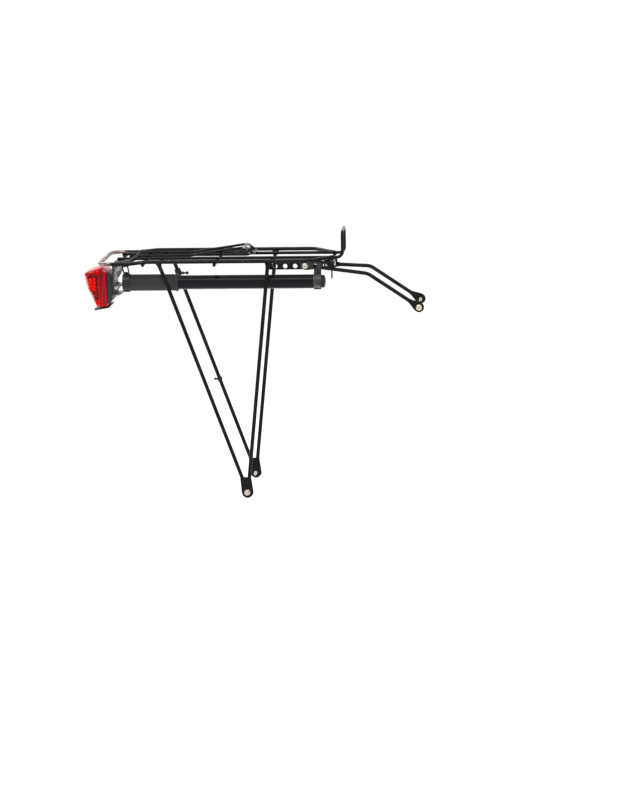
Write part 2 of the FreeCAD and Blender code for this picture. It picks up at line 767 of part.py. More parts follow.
def pump():
    bore = "barrelRadius - barrelWall"
    rodStart = "handleRearX + handleEnd"
    pistonFace = f"{bore} - 2 * runningFit"
    turned("pump_barrel", [
        ("barrelRearX", bore),
        ("barrelFrontX", bore),
        ("barrelFrontX", "barrelRadius"),
        ("barrelRearX", "barrelRadius"),
    ], **pumpPlace)
    turned("pump_handle", [
        ("handleRearX + 1.5", "0"),
        (rodStart, "0"),
        (rodStart, "barrelRadius + slideGap"),
        ("handleFrontX", "barrelRadius + slideGap"),
        ("handleFrontX", "handleRadius - 0.8"),
        ("handleFrontX - 0.8", "handleRadius"),
        ("handleRearX + 1.5", "handleRadius"),
        ("handleRearX", "handleRadius - 1.5"),
        ("handleRearX", "3"),
    ], **pumpPlace)
    turned("pump_rod", [
        (rodStart, "0"),
        ("pistonX", "0"),
        ("pistonX", "pistonRod / 2"),
        (rodStart, "pistonRod / 2"),
    ], **pumpPlace)
    turned("pump_piston", [
        ("pistonX + rodGap", "0"),
        ("pistonX + pistonLength", "0"),
        ("pistonX + pistonLength", pistonFace),
        ("pistonX + pistonLength - 2", pistonFace),
        ("pistonX + pistonLength - 3", f"{bore} - 1"),
        ("pistonX + 3", f"{bore} - 1"),
        ("pistonX + 2", pistonFace),
        ("pistonX + rodGap", pistonFace),
    ], **pumpPlace)
    turned("pump_head", [
        ("barrelFrontX - 8", "0"),
        ("headFrontX", "0"),
        ("headFrontX", "barrelRadius - 0.5"),
        ("headFrontX - 0.5", "barrelRadius"),
        ("barrelFrontX + rodGap", "barrelRadius"),
        ("barrelFrontX + rodGap", f"{bore} - rodGap"),
        ("barrelFrontX - 8", f"{bore} - rodGap"),
    ], **pumpPlace)
    turned("pump_cap", [
        ("headFrontX + rodGap", "0"),
        ("capFrontX", "0"),
        ("capFrontX", "capRadius - 1.5"),
        ("capFrontX - 1.5", "capRadius"),
        ("headFrontX + rodGap", "capRadius"),
    ], **pumpPlace)


# An open ring round the pump: its mouth faces down and outwards.
def openRing(startX, length, inner):
    start = Vector(startX, 0, 0)
    alongX = Vector(1, 0, 0)
    outside = Part.makeCylinder(inner + size("clipSheet"), length, start, alongX)
    ring = outside.cut(Part.makeCylinder(inner, length, start, alongX))
    reach = 3 * inner
    mouth = size("clipMouth")
    gap = Part.makeBox(length, reach, mouth, Vector(startX, -reach, -mouth / 2))
    gap.rotate(middle, alongX, 50)
    ring = ring.cut(gap)
    ring.translate(place3("0", "pumpY", "pumpZ"))
    return ring


# The tab lies on the plate's outer face, under the strut's bolt, and runs down into the ring.
def pumpFrontClip():
    wall = size("clipSheet")
    inner = size("barrelRadius + clipFit")
    width = size("clipWidth")
    first = size("holeX + 4 * holePitch - 1.8")
    face = size("plateY - plateWall / 2 - rodGap")
    fromAxis = face - size("pumpY")
    low = size("pumpZ") + math.sqrt((inner + wall / 2) ** 2 - fromAxis ** 2)
    rear = size("holeX + 3 * holePitch - 7")
    bottom = size("plateBottom + 0.5")
    top = size("plateTop - 2")
    front = first + width
    corners = [(rear, bottom), (first, bottom), (first, low), (front, low), (front, top), (rear, top)]
    outline = [Vector(x, face, z) for x, z in corners + corners[:1]]
    tab = Part.Face(Part.makePolygon(outline)).extrude(Vector(0, -wall, 0))
    holes = [
        ("holeX + 3 * holePitch", "clampBolt / 2 + seatGap"),
        ("holeX + 4 * holePitch", "plateHole / 2 - rodGap"),
    ]
    for x, radius in holes:
        start = Vector(size(x), face + wall, size("holeZ"))
        tab = tab.cut(Part.makeCylinder(size(radius), 3 * wall, start, -alongY))
    solidFeature("pump_front_clip", tab.fuse(openRing(first, width, inner)).removeSplitter())


# The rear ring hangs from the rail by a wire bent over the pivot rod's end.
def pumpRearClip():
    inner = size("handleRadius + clipFit")
    wire = size("hangerWire")
    width = size("innerRod") + 2 * wire + 1.2
    first = size("clipPivotX") - width / 2
    solidFeature("pump_rear_clip", openRing(first, width, inner))
    low = size("pumpZ + clipSheet + rodGap") + inner + wire / 2
    high = size("deckHeight - tailDrop - railRod / 2 - rodGap") - wire / 2
    rearX = first + wire / 2
    frontX = first + width - wire / 2
    railY = size("2 - railHalf")
    pumpY = size("pumpY")
    points = [
        Vector(rearX, railY, high),
        Vector(rearX, pumpY, low),
        Vector(frontX, pumpY, low),
        Vector(frontX, railY, high),
    ]
    solidFeature("pump_hanger", sweptRound(arcJoined(points, 2.5), wire))


def pumpBand():
    inner = size("handleRadius + clipFit")
    band = ringShape(inner, inner + 1, 3)
    band.rotate(middle, Vector(0, 0, 1), -90)
    band.translate(place3("handleFrontX - 5", "pumpY", "pumpZ"))
    solidFeature("pump_band", band)


pump()
pumpFrontClip()
pumpRearClip()
pumpBand()


# Tail light: bracket, housing, base lip, reflector, lamp board, bulb and lens, with two screws

# A solid of an outline in the XZ plane, from nearY to farY.
def plateSolid(outline, nearY, farY):
    corners = [Vector(x, nearY, z) for x, z in outline]
    return Part.Face(Part.makePolygon(corners + corners[:1])).extrude(Vector(0, farY - nearY, 0))


# The same outline moved inwards by a wall.
def insetOutline(outline, wall):
    wire = Part.makePolygon([Vector(x, 0, z) for x, z in outline + outline[:1]])
    inner = wire.makeOffset2D(-wall, 2)
    return [(vertex.Point.x, vertex.Point.z) for vertex in inner.OrderedVertexes]


def sized(outline):
    return [(size(x), size(z)) for x, z in outline]


# Holes along X for the lamp's two screws, at both sides of a wall at x.
def screwHoles(x):
    radius = size("lightScrew / 2 + seatGap")
    length = 2 * size("lampWall") + 2
    holes = []
    for sign in sides.values():
        start = Vector(x - length / 2, sign * size("lightScrewHalf"), size("lightScrewZ"))
        holes.append(Part.makeCylinder(radius, length, start, Vector(1, 0, 0)))
    return holes


def lens():
    half = size("lampHalf")
    wall = size("lampWall")
    outline = sized([
        ("lensX", "lampBottom"),
        ("lensX", "lampTop - 7"),
        ("lensX - 12.5", "lampTop"),
        ("lensX - 35", "lampTop - 8"),
        ("lensX - 33", "lampTop - 24"),
        ("lensX - 27", "lampTop - 40"),
        ("lensX - 16.5", "lampBottom"),
    ])
    inside = half - wall
    cavity = plateSolid(insetOutline(outline, wall), -inside, inside)
    mouthBottom = size("lampBottom + lampWall")
    mouthTop = size("lampTop - 7 - lampWall")
    corner = Vector(size("lensX - 2 * lampWall"), -inside, mouthBottom)
    mouth = Part.makeBox(3 * wall, 2 * inside, mouthTop - mouthBottom, corner)
    solidFeature("lens", plateSolid(outline, -half, half).cut([cavity, mouth]))


def housing():
    half = size("lampHalf - 1")
    wall = size("lampWall")
    backX = size("lensX + seatGap")
    frontX = size("lensX + housingDepth")
    top = size("lampTop - 8")
    bottom = size("lampBottom + 3")
    narrowTop = top - 8
    narrowBottom = bottom + 6
    outline = [(backX, bottom), (frontX, narrowBottom), (frontX, narrowTop), (backX, top)]
    hollow = [
        (backX - 1, bottom + wall),
        (frontX - wall, narrowBottom + wall),
        (frontX - wall, narrowTop - wall),
        (backX - 1, top - wall),
    ]
    body = plateSolid(outline, -half, half).cut(plateSolid(hollow, wall - half, half - wall))
    solidFeature("light_housing", body.cut(screwHoles(frontX - wall / 2)))


def lightInside():
    half = size("lampHalf - lampWall - 4")
    turned("light_bulb", [
        ("lensX - 5.5", "0"),
        ("lensX + boardSeat - rodGap", "0"),
        ("lensX + boardSeat - rodGap", "3"),
        ("lensX - 1.5", "4.2"),
        ("lensX - 4.5", "3.6"),
    ], z="lightScrewZ + 8")
    boardX = size("lensX + boardSeat")
    boardHeight = size("(lampTop - lampBottom) / 2")
    boardCorner = Vector(boardX, -half, size("lampBottom + 12"))
    board = Part.makeBox(size("lampWall"), 2 * half, boardHeight, boardCorner)
    solidFeature("light_board", board)
    reflector = Part.makeBox(2, 2 * half, 22, place3("lensX - 10", 0, "lampBottom + 6") - Vector(0, half, 0))
    solidFeature("light_reflector", reflector)


def lightBaseLip():
    half = size("lampHalf - 2")
    outline = sized([
        ("lensX - 21", "lampBottom - 6.5"),
        ("lensX + 3", "lampBottom - 2.6"),
        ("lensX + 3", "lampBottom - 0.4"),
        ("lensX - 21", "lampBottom - 3.8"),
    ])
    solidFeature("light_base_lip", plateSolid(outline, -half, half))


# A sheet that hangs from the rear crossbar: top flange, upright plate, two gussets and a curled lip.
def lightBracket():
    wall = size("lightBracketWall")
    half = size("lightBracketHalf")
    gusset = size("gussetWall")
    backX = size("lightBracketX") - wall / 2
    faceX = backX + wall
    flangeX = size("lightBracketFrontX")
    top = size(f"({crossZ}) - innerRod / 2 - rodGap")
    lipX = size("lipX")
    lipZ = size("lipZ")
    lipOuter = size("lipRadius")
    lipInner = lipOuter - wall
    lipEnd = lipZ - math.sqrt(lipOuter ** 2 - (backX - lipX) ** 2)
    under = top - wall
    angle = [(backX, lipEnd), (faceX, lipEnd), (faceX, under), (flangeX, under), (flangeX, top), (backX, top)]
    body = plateSolid(angle, -half, half)
    edge = Vector(lipX, -half, lipZ)
    lip = Part.makeCylinder(lipOuter, 2 * half, edge, alongY)
    lip = lip.cut(Part.makeCylinder(lipInner, 2 * half, edge, alongY))
    keep = Part.makeBox(2 * lipOuter, 2 * half, lipOuter, Vector(backX, -half, lipZ - lipOuter))
    body = body.fuse(lip.common(keep))
    web = [(faceX, under), (flangeX, under), (faceX + 5, top - 24), (faceX, top - 30)]
    for nearY in (-half, half - gusset):
        body = body.fuse(plateSolid(web, nearY, nearY + gusset))
    solidFeature("light_bracket", body.removeSplitter().cut(screwHoles(size("lightBracketX"))))


def lightFasteners():
    shank = size("lightScrew")
    headX = size("lensX + housingDepth - lampWall - rodGap")
    nutX = size("lightBracketX + lightBracketWall / 2 + rodGap")
    nutWall = 3
    screw = boltShape(shank, 13, 3.6, 2)
    nut = hexNut(shank / 2 + 0.1, shank, nutWall)
    screws = []
    nuts = []
    for sign in sides.values():
        for shape, x, group in ((screw, headX, screws), (nut, nutX, nuts)):
            piece = shape.copy()
            piece.rotate(middle, Vector(0, 0, 1), -90)
            piece.translate(Vector(x, sign * size("lightScrewHalf"), size("lightScrewZ")))
            group.append(piece)
    solidFeature("light_screws", Part.makeCompound(screws))
    solidFeature("light_nuts", Part.makeCompound(nuts))


lens()
housing()
lightInside()
lightBaseLip()
lightBracket()
lightFasteners()


# Mudguard strap under the front bracket, and two cable holders on the left rear stay

def mudguardStrap():
    wall = size("strapWall")
    half = size("strapHalf")
    front = size("webX - webWall / 2 - rodGap")
    screwZ = size("webBottom + webTop") / 2
    bottom = size("webBottom - strapDrop")
    top = size("webTop")
    outline = [(front - wall, bottom), (front, bottom), (front, top), (front - wall, top)]
    holes = []
    for z in (bottom + half, screwZ):
        start = Vector(front - 2 * wall, 0, z)
        holes.append(Part.makeCylinder(size("boltHole / 2"), 4 * wall, start, Vector(1, 0, 0)))
    solidFeature("mudguard_strap", plateSolid(outline, -half, half).cut(holes))
    screw = boltShape(size("boltFive"), 9, 4.2, 2.6)
    screw.rotate(middle, Vector(0, 0, 1), 90)
    screw.translate(Vector(front + size("webWall + 2 * rodGap"), 0, screwZ))
    solidFeature("strap_screw", screw)


# A sleeve round the left rear stay: its place on the stay, the stay's direction and the bore to cut.
def staySleeve(place, length, wall):
    y = size("railHalf")
    knee = Vector(size("rearStayKneeX"), y, size("deckHeight - rearStayKneeDrop"))
    along = (Vector(size("rearFootX"), y, size("footTop - railRod")) - knee).normalize()
    spot = knee + along * place(knee, along)
    bore = size("railRod / 2 + rodGap")
    sleeve = Part.makeCylinder(bore + wall, length, spot - along * length / 2, along)
    return spot, sleeve, Part.makeCylinder(bore, 3 * length, spot - along * 1.5 * length, along), bore


def cableGuide():
    spot, sleeve, bore, reach = staySleeve(lambda knee, along: size("guideDown"), 8, 2)
    arm = Part.makeBox(14, 3, 2.4, spot + Vector(reach, -1.5, -4))
    knobs = [Part.makeCylinder(2.3, 5, spot + Vector(reach + x, -2.5, -2.8), alongY) for x in (4.5, 11.7)]
    solidFeature("cable_guide", sleeve.fuse([arm] + knobs).cut(bore).removeSplitter())


def cableHook():
    spot, sleeve, bore, reach = staySleeve(lambda knee, along: (size("hookZ") - knee.z) / along.z, 5, 1)
    peg = Part.makeCylinder(1.5, reach + 5, spot, Vector(-1, 0, 0))
    knob = Part.makeCylinder(2.2, 2, spot - Vector(reach + 4, 0, 0), Vector(-1, 0, 0))
    solidFeature("cable_hook", sleeve.fuse([peg, knob]).cut(bore).removeSplitter())


mudguardStrap()
cableGuide()
cableHook()


# Checks, then one file for each node

doc.recompute()
for thing in doc.Objects:
    if "Invalid" in thing.State or "Error" in thing.State:
        raise RuntimeError(f"{thing.Label}: {thing.State}")
for node in nodes:
    if node.Shape.isNull() or not node.Shape.isValid() or not node.Shape.Solids:
        raise RuntimeError(f"{node.Label} has no sound solid")
os.makedirs("parts", exist_ok=True)
for node in nodes:
    node.Shape.exportStep(f"parts/{node.Label}.step")
print(len(nodes), "nodes")
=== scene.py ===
import math

import bmesh
import bpy
from mathutils import Matrix, Vector, noise


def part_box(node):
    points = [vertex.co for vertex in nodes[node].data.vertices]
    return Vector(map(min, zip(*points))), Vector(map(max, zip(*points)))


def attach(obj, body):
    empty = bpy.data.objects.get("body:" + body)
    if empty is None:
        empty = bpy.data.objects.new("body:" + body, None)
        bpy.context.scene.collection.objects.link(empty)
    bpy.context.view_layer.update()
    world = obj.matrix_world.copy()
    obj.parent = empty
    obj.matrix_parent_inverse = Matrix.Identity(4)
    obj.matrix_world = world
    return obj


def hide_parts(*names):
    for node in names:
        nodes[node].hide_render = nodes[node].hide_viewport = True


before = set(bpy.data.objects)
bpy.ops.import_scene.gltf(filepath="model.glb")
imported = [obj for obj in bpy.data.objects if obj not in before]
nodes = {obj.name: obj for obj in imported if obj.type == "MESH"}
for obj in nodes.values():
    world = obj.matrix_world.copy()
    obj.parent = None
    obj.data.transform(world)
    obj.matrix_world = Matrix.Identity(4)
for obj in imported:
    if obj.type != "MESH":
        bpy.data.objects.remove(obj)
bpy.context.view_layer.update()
mm = 0.001
sides = {"right": -1, "left": 1}
print("frame loaded,", len(nodes), "nodes")


# Camera, floor and light

view = {
    "spot": (0.3927, -3.845, 0.9077),
    "right": (0.9971, 0.0735, -0.0185),
    "up": (0.0036, 0.1975, 0.9803),
    "lens": 110.655,
    "sensor": 36,
}


def makeCamera():
    data = bpy.data.cameras.new("rackCamera")
    data.lens = view["lens"]
    data.sensor_width = view["sensor"]
    data.clip_end = 200
    right = Vector(view["right"]).normalized()
    back = right.cross(Vector(view["up"])).normalized()
    turn = Matrix((right, back.cross(right), back)).transposed().to_4x4()
    camera = bpy.data.objects.new("rackCamera", data)
    camera.matrix_world = Matrix.Translation(view["spot"]) @ turn
    bpy.context.scene.collection.objects.link(camera)
    bpy.context.scene.camera = camera


studio = {
    "floorZ": -0.367,           # where the wheel would stand
    "floorHalf": 60,
    "floorColour": (0.93, 0.93, 0.93, 1),
    "floorRoughness": 0.9,
    "sky": (1.0, 1.0, 1.0, 1),
    "skyStrength": 1.09,
    "lamps": {
        # name: place, aimed at, width, height, watts
        "topLamp": ((-0.5, -1.1, 2.3), (0, 0, 0.2), 1.6, 1.0, 26),
        "frontLamp": ((1.5, -2.2, 1.3), (0, 0, 0.2), 1.2, 1.2, 12),
        "backLamp": ((-1.4, 1.7, 1.9), (0, 0, 0.2), 1.6, 1.2, 20),
    },
}


def makeStudio():
    scene = bpy.context.scene
    scene.view_settings.view_transform = "Standard"
    world = bpy.data.worlds.new("studioSky")
    world.use_nodes = True
    sky = world.node_tree.nodes["Background"]
    sky.inputs["Color"].default_value = studio["sky"]
    sky.inputs["Strength"].default_value = studio["skyStrength"]
    scene.world = world
    for name, (place, aim, width, height, watts) in studio["lamps"].items():
        data = bpy.data.lights.new(name, "AREA")
        data.shape = "RECTANGLE"
        data.size = width
        data.size_y = height
        data.energy = watts
        lamp = bpy.data.objects.new(name, data)
        lamp.location = place
        lamp.rotation_euler = (Vector(aim) - Vector(place)).to_track_quat("-Z", "Y").to_euler()
        scene.collection.objects.link(lamp)
    half = studio["floorHalf"]
    z = studio["floorZ"]
    corners = [(-half, -half, z), (half, -half, z), (half, half, z), (-half, half, z)]
    mesh = bpy.data.meshes.new("floor")
    mesh.from_pydata(corners, [], [(0, 1, 2, 3)])
    floor = bpy.data.objects.new("floor", mesh)
    scene.collection.objects.link(floor)
    paper = bpy.data.materials.new("paperFloor")
    paper.use_nodes = True
    shader = paper.node_tree.nodes["Principled BSDF"]
    shader.inputs["Base Color"].default_value = studio["floorColour"]
    shader.inputs["Roughness"].default_value = studio["floorRoughness"]
    mesh.materials.append(paper)


makeCamera()
makeStudio()
print("camera and studio made")


# Nodes that several finishes share. A place is the object's own coordinates, in metres.

wear = {
    "spotCore": 0.4,            # share of a worn spot's radius that is fully worn
    "upward": (0.1, 0.95),      # from where a surface counts as facing up, to where it does fully
    "edgeReach": 0.0006,        # metres
    "edgeTurn": (0.97, 0.8),    # cosine of the edge's turn, from where wear starts to where it is full
}


def startMaterial(name):
    material = bpy.data.materials.new(name)
    material.use_nodes = True
    tree = material.node_tree
    shader = tree.nodes["Principled BSDF"]
    place = tree.nodes.new("ShaderNodeTexCoord").outputs["Object"]
    return material, tree, shader, place


def addMath(tree, operation, first, second):
    node = tree.nodes.new("ShaderNodeMath")
    node.operation = operation
    for socket, value in zip(node.inputs, (first, second)):
        if isinstance(value, (int, float)):
            socket.default_value = value
        else:
            tree.links.new(value, socket)
    return node.outputs[0]


def addNoise(tree, place, scale, detail=4, stretch=None):
    if stretch:
        mapping = tree.nodes.new("ShaderNodeMapping")
        mapping.inputs["Scale"].default_value = stretch
        tree.links.new(place, mapping.inputs["Vector"])
        place = mapping.outputs[0]
    node = tree.nodes.new("ShaderNodeTexNoise")
    node.inputs["Scale"].default_value = scale
    node.inputs["Detail"].default_value = detail
    tree.links.new(place, node.inputs["Vector"])
    return node.outputs[0]


def remap(tree, value, low, high, newLow, newHigh):
    node = tree.nodes.new("ShaderNodeMapRange")
    for key, number in (("From Min", low), ("From Max", high), ("To Min", newLow), ("To Max", newHigh)):
        node.inputs[key].default_value = number
    tree.links.new(value, node.inputs["Value"])
    return node.outputs[0]


def mixColours(tree, share, first, second):
    node = tree.nodes.new("ShaderNodeMix")
    node.data_type = "RGBA"
    tree.links.new(share, node.inputs[0])
    for socket, colour in ((node.inputs[6], first), (node.inputs[7], second)):
        if isinstance(colour, tuple):
            socket.default_value = (*colour, 1)
        else:
            tree.links.new(colour, socket)
    return node.outputs[2]


def addBump(tree, shader, height, strength, distance):
    node = tree.nodes.new("ShaderNodeBump")
    node.inputs["Strength"].default_value = strength
    node.inputs["Distance"].default_value = distance
    tree.links.new(height, node.inputs["Height"])
    tree.links.new(node.outputs[0], shader.inputs["Normal"])


# How near a surface point is to any of the given spots: 1 in a spot's core, 0 outside its radius.
def nearSpots(tree, place, spots):
    total = None
    for x, y, z, radius in spots:
        gap = tree.nodes.new("ShaderNodeVectorMath")
        gap.operation = "DISTANCE"
        tree.links.new(place, gap.inputs[0])
        gap.inputs[1].default_value = (x, y, z)
        near = remap(tree, gap.outputs["Value"], radius * wear["spotCore"], radius, 1, 0)
        total = near if total is None else addMath(tree, "MAXIMUM", total, near)
    return total


# How far a surface faces upwards.
def facingUp(tree):
    split = tree.nodes.new("ShaderNodeSeparateXYZ")
    tree.links.new(tree.nodes.new("ShaderNodeTexCoord").outputs["Normal"], split.inputs[0])
    return remap(tree, split.outputs[2], *wear["upward"], 0, 1)


# How near a surface point is to a sharp edge.
def onEdge(tree):
    rounded = tree.nodes.new("ShaderNodeBevel")
    rounded.inputs["Radius"].default_value = wear["edgeReach"]
    turn = tree.nodes.new("ShaderNodeVectorMath")
    turn.operation = "DOT_PRODUCT"
    tree.links.new(rounded.outputs[0], turn.inputs[0])
    tree.links.new(tree.nodes.new("ShaderNodeNewGeometry").outputs["Normal"], turn.inputs[1])
    return remap(tree, turn.outputs["Value"], *wear["edgeTurn"], 0, 1)


# Finishes

paintLook = {
    "deep": (0.0025, 0.0025, 0.003),
    "faded": (0.007, 0.0065, 0.007),
    "dust": (0.030, 0.027, 0.026),
    "bare": (0.40, 0.30, 0.275),
    "bareDark": (0.045, 0.033, 0.032),
    "roughness": (0.12, 0.28),
    "gloss": 0.09,
    "coat": 0.03,
    "coatRoughness": 0.12,
    "cloudScale": 38,
    "grainScale": 900,
    "speckScale": 420,
    "dustShare": 0.3,           # most that dust covers, on surfaces that face up
    "edgeShare": 0.5,           # most that wear bares, on edges
    "rubbedFrom": 0.62,
    "bareMetallic": 0.85,
    "bareRougher": 0.16,
    "bump": (0.35, 0.00012),    # strength, and height in metres
}


# Gloss black enamel on steel, rubbed through to bare metal near the given spots.
def blackEnamel(name, wornSpots=(), wornTops=0.0, chips=0.74):
    look = paintLook
    material, tree, shader, place = startMaterial(name)
    cloud = addNoise(tree, place, look["cloudScale"], 5)
    grain = addNoise(tree, place, look["grainScale"], 3)
    speck = addNoise(tree, place, look["speckScale"], 4)
    paint = mixColours(tree, remap(tree, cloud, 0.35, 0.7, 0, 1), look["deep"], look["faded"])
    settled = addMath(tree, "MULTIPLY", facingUp(tree), remap(tree, speck, 0.45, 0.7, 0.0, look["dustShare"]))
    paint = mixColours(tree, settled, paint, look["dust"])
    worn = remap(tree, speck, chips, chips + 0.03, 0, 1)
    edges = addMath(tree, "MULTIPLY", onEdge(tree), remap(tree, cloud, 0.5, 0.7, 0, look["edgeShare"]))
    worn = addMath(tree, "MAXIMUM", worn, edges)
    if wornSpots:
        rubbed = addMath(tree, "ADD", nearSpots(tree, place, wornSpots), cloud)
        rubbed = addMath(tree, "SUBTRACT", rubbed, look["rubbedFrom"])
        worn = addMath(tree, "MAXIMUM", worn, remap(tree, rubbed, 0.1, 0.34, 0, 1))
    if wornTops:
        scuffed = addMath(tree, "MULTIPLY", facingUp(tree), remap(tree, cloud, 0.66 - wornTops, 0.7, 0, 1))
        worn = addMath(tree, "MAXIMUM", worn, scuffed)
    bare = mixColours(tree, remap(tree, speck, 0.35, 0.65, 0, 1), look["bareDark"], look["bare"])
    tree.links.new(mixColours(tree, worn, paint, bare), shader.inputs["Base Color"])
    tree.links.new(remap(tree, worn, 0, 1, 0, look["bareMetallic"]), shader.inputs["Metallic"])
    dull = remap(tree, cloud, 0.3, 0.75, *look["roughness"])
    dull = addMath(tree, "ADD", dull, remap(tree, worn, 0, 1, 0, look["bareRougher"]))
    tree.links.new(dull, shader.inputs["Roughness"])
    shader.inputs["Specular IOR Level"].default_value = look["gloss"]
    shader.inputs["Coat Weight"].default_value = look["coat"]
    shader.inputs["Coat Roughness"].default_value = look["coatRoughness"]
    height = addMath(tree, "SUBTRACT", remap(tree, grain, 0, 1, 0, 0.35), worn)
    addBump(tree, shader, height, *look["bump"])
    return material


metalLooks = {
    "zinc": {
        "light": (0.66, 0.63, 0.58), "dark": (0.34, 0.31, 0.28), "stain": (0.30, 0.19, 0.11),
        "roughness": (0.22, 0.5), "stainFrom": 0.62,
    },
    "coppery": {
        "light": (0.70, 0.58, 0.47), "dark": (0.36, 0.25, 0.18), "stain": (0.30, 0.15, 0.08),
        "roughness": (0.24, 0.5), "stainFrom": 0.58,
    },
    "galvanised": {
        "light": (0.46, 0.45, 0.44), "dark": (0.11, 0.105, 0.10), "stain": (0.05, 0.042, 0.036),
        "roughness": (0.3, 0.58), "brush": (1, 6, 1), "stainFrom": 0.6,
    },
    "springWire": {
        "light": (0.12, 0.115, 0.115), "dark": (0.025, 0.023, 0.023), "stain": (0.06, 0.035, 0.02),
        "roughness": (0.28, 0.5), "stainFrom": 0.66,
    },
    "brightWire": {
        "light": (0.34, 0.32, 0.31), "dark": (0.04, 0.036, 0.036), "stain": (0.012, 0.011, 0.011),
        "roughness": (0.2, 0.42), "brush": (1, 8, 1), "stainFrom": 0.47,
    },
    "polished": {
        "light": (0.80, 0.80, 0.80), "dark": (0.60, 0.60, 0.61), "stain": (0.30, 0.28, 0.26),
        "roughness": (0.06, 0.16), "brush": (1, 30, 30), "stainFrom": 0.7,
    },
}
# What the metals share, unless a look above says otherwise
metalSurface = {
    "brush": (1, 1, 1),
    "cloudScale": 160,
    "brushScale": 900,
    "stainScale": 330,
    "stainShare": 0.85,
    "edgeShare": 0.6,
    "metallic": 0.92,
    "bump": (0.3, 0.0001),
    # Painted shade: colour and share of the darkening behind a given x, and how far it fades
    "shadeColour": (0.012, 0.012, 0.012),
    "shadeShare": 0.92,
    "shadeFade": 0.004,         # metres over which the painted shade gives way to clean metal
}


# Bare or plated metal; painted shade darkens what lies behind the given x.
def bareMetal(name, kind, shadeBehind=None):
    look = {**metalSurface, **metalLooks[kind]}
    material, tree, shader, place = startMaterial(name)
    cloud = addNoise(tree, place, look["cloudScale"], 5)
    brushed = addNoise(tree, place, look["brushScale"], 3, look["brush"])
    stains = addNoise(tree, place, look["stainScale"], 6)
    tone = mixColours(tree, remap(tree, cloud, 0.32, 0.66, 0, 1), look["dark"], look["light"])
    stained = remap(tree, stains, look["stainFrom"], look["stainFrom"] + 0.1, 0, look["stainShare"])
    tone = mixColours(tree, stained, tone, look["stain"])
    # Painted shade: darkens the colour behind the given x, where the bracket's plate stands in shade
    if shadeBehind is not None:
        fade = look["shadeFade"]
        split = tree.nodes.new("ShaderNodeSeparateXYZ")
        tree.links.new(place, split.inputs[0])
        spread = addMath(tree, "ADD", split.outputs[0], addMath(tree, "MULTIPLY", cloud, fade))
        shaded = remap(tree, spread, shadeBehind, shadeBehind + fade, look["shadeShare"], 0)
        tone = mixColours(tree, shaded, tone, look["shadeColour"])
    tone = mixColours(tree, addMath(tree, "MULTIPLY", onEdge(tree), look["edgeShare"]), tone, look["light"])
    tree.links.new(tone, shader.inputs["Base Color"])
    shader.inputs["Metallic"].default_value = look["metallic"]
    tree.links.new(remap(tree, cloud, 0.3, 0.7, *look["roughness"]), shader.inputs["Roughness"])
    addBump(tree, shader, addMath(tree, "ADD", brushed, stains), *look["bump"])
    return material


plasticLooks = {
    "moulded": {
        "deep": (0.004, 0.004, 0.005), "light": (0.012, 0.012, 0.013), "edge": (0.04, 0.04, 0.042),
        "roughness": (0.3, 0.5),
    },
    "housing": {
        "deep": (0.010, 0.013, 0.018), "light": (0.026, 0.031, 0.038), "edge": (0.07, 0.08, 0.095),
        "roughness": (0.3, 0.48),
    },
    "grip": {
        "deep": (0.011, 0.0105, 0.011), "light": (0.032, 0.030, 0.032), "edge": (0.06, 0.06, 0.06),
        "roughness": (0.34, 0.5), "stretch": (0.04, 1, 1), "bump": 0.3, "gloss": 0.14,
    },
    "barrel": {
        "deep": (0.0015, 0.0015, 0.003), "light": (0.005, 0.005, 0.008), "edge": (0.02, 0.02, 0.03),
        "roughness": (0.17, 0.3), "stretch": (0.03, 1, 1), "bump": 0.16, "gloss": 0.1,
    },
    "greyBand": {
        "deep": (0.035, 0.035, 0.037), "light": (0.11, 0.11, 0.115), "edge": (0.28, 0.28, 0.29),
        "roughness": (0.22, 0.42), "stretch": (0.5, 1, 1), "bump": 0.3, "gloss": 0.3,
    },
    "strapSteel": {
        "deep": (0.005, 0.005, 0.006), "light": (0.016, 0.015, 0.016), "edge": (0.09, 0.085, 0.08),
        "roughness": (0.28, 0.48),
    },
    "clipSteel": {
        "deep": (0.010, 0.010, 0.011), "light": (0.040, 0.038, 0.039), "edge": (0.24, 0.23, 0.23),
        "roughness": (0.26, 0.46), "gloss": 0.25,
    },
    "rubber": {
        "deep": (0.012, 0.012, 0.012), "light": (0.03, 0.03, 0.03), "edge": (0.05, 0.05, 0.05),
        "roughness": (0.6, 0.8), "bump": 0.5, "gloss": 0.4,
    },
}
# What the plastics share, unless a look above says otherwise
plasticSurface = {
    "stretch": None,
    "bump": 0.35,
    "gloss": 0.2,
    "cloudScale": 55,
    "streakScale": 620,
    "streakShare": 0.45,
    "edgeShare": 0.5,
    "coatRoughness": 0.16,
    "bumpHeight": 0.00008,
}


# Plastic, rubber or painted sheet, with streaks along its length and lighter edges.
def mouldedPlastic(name, kind, coat=0.0):
    look = {**plasticSurface, **plasticLooks[kind]}
    material, tree, shader, place = startMaterial(name)
    cloud = addNoise(tree, place, look["cloudScale"], 5, look["stretch"])
    streak = addNoise(tree, place, look["streakScale"], 4, look["stretch"])
    tone = mixColours(tree, remap(tree, cloud, 0.34, 0.68, 0, 1), look["deep"], look["light"])
    tone = mixColours(tree, remap(tree, streak, 0.56, 0.74, 0, look["streakShare"]), tone, look["light"])
    tone = mixColours(tree, addMath(tree, "MULTIPLY", onEdge(tree), look["edgeShare"]), tone, look["edge"])
    tree.links.new(tone, shader.inputs["Base Color"])
    tree.links.new(remap(tree, streak, 0.3, 0.7, *look["roughness"]), shader.inputs["Roughness"])
    shader.inputs["Specular IOR Level"].default_value = look["gloss"]
    shader.inputs["Coat Weight"].default_value = coat
    shader.inputs["Coat Roughness"].default_value = look["coatRoughness"]
    addBump(tree, shader, streak, look["bump"], look["bumpHeight"])
    return material


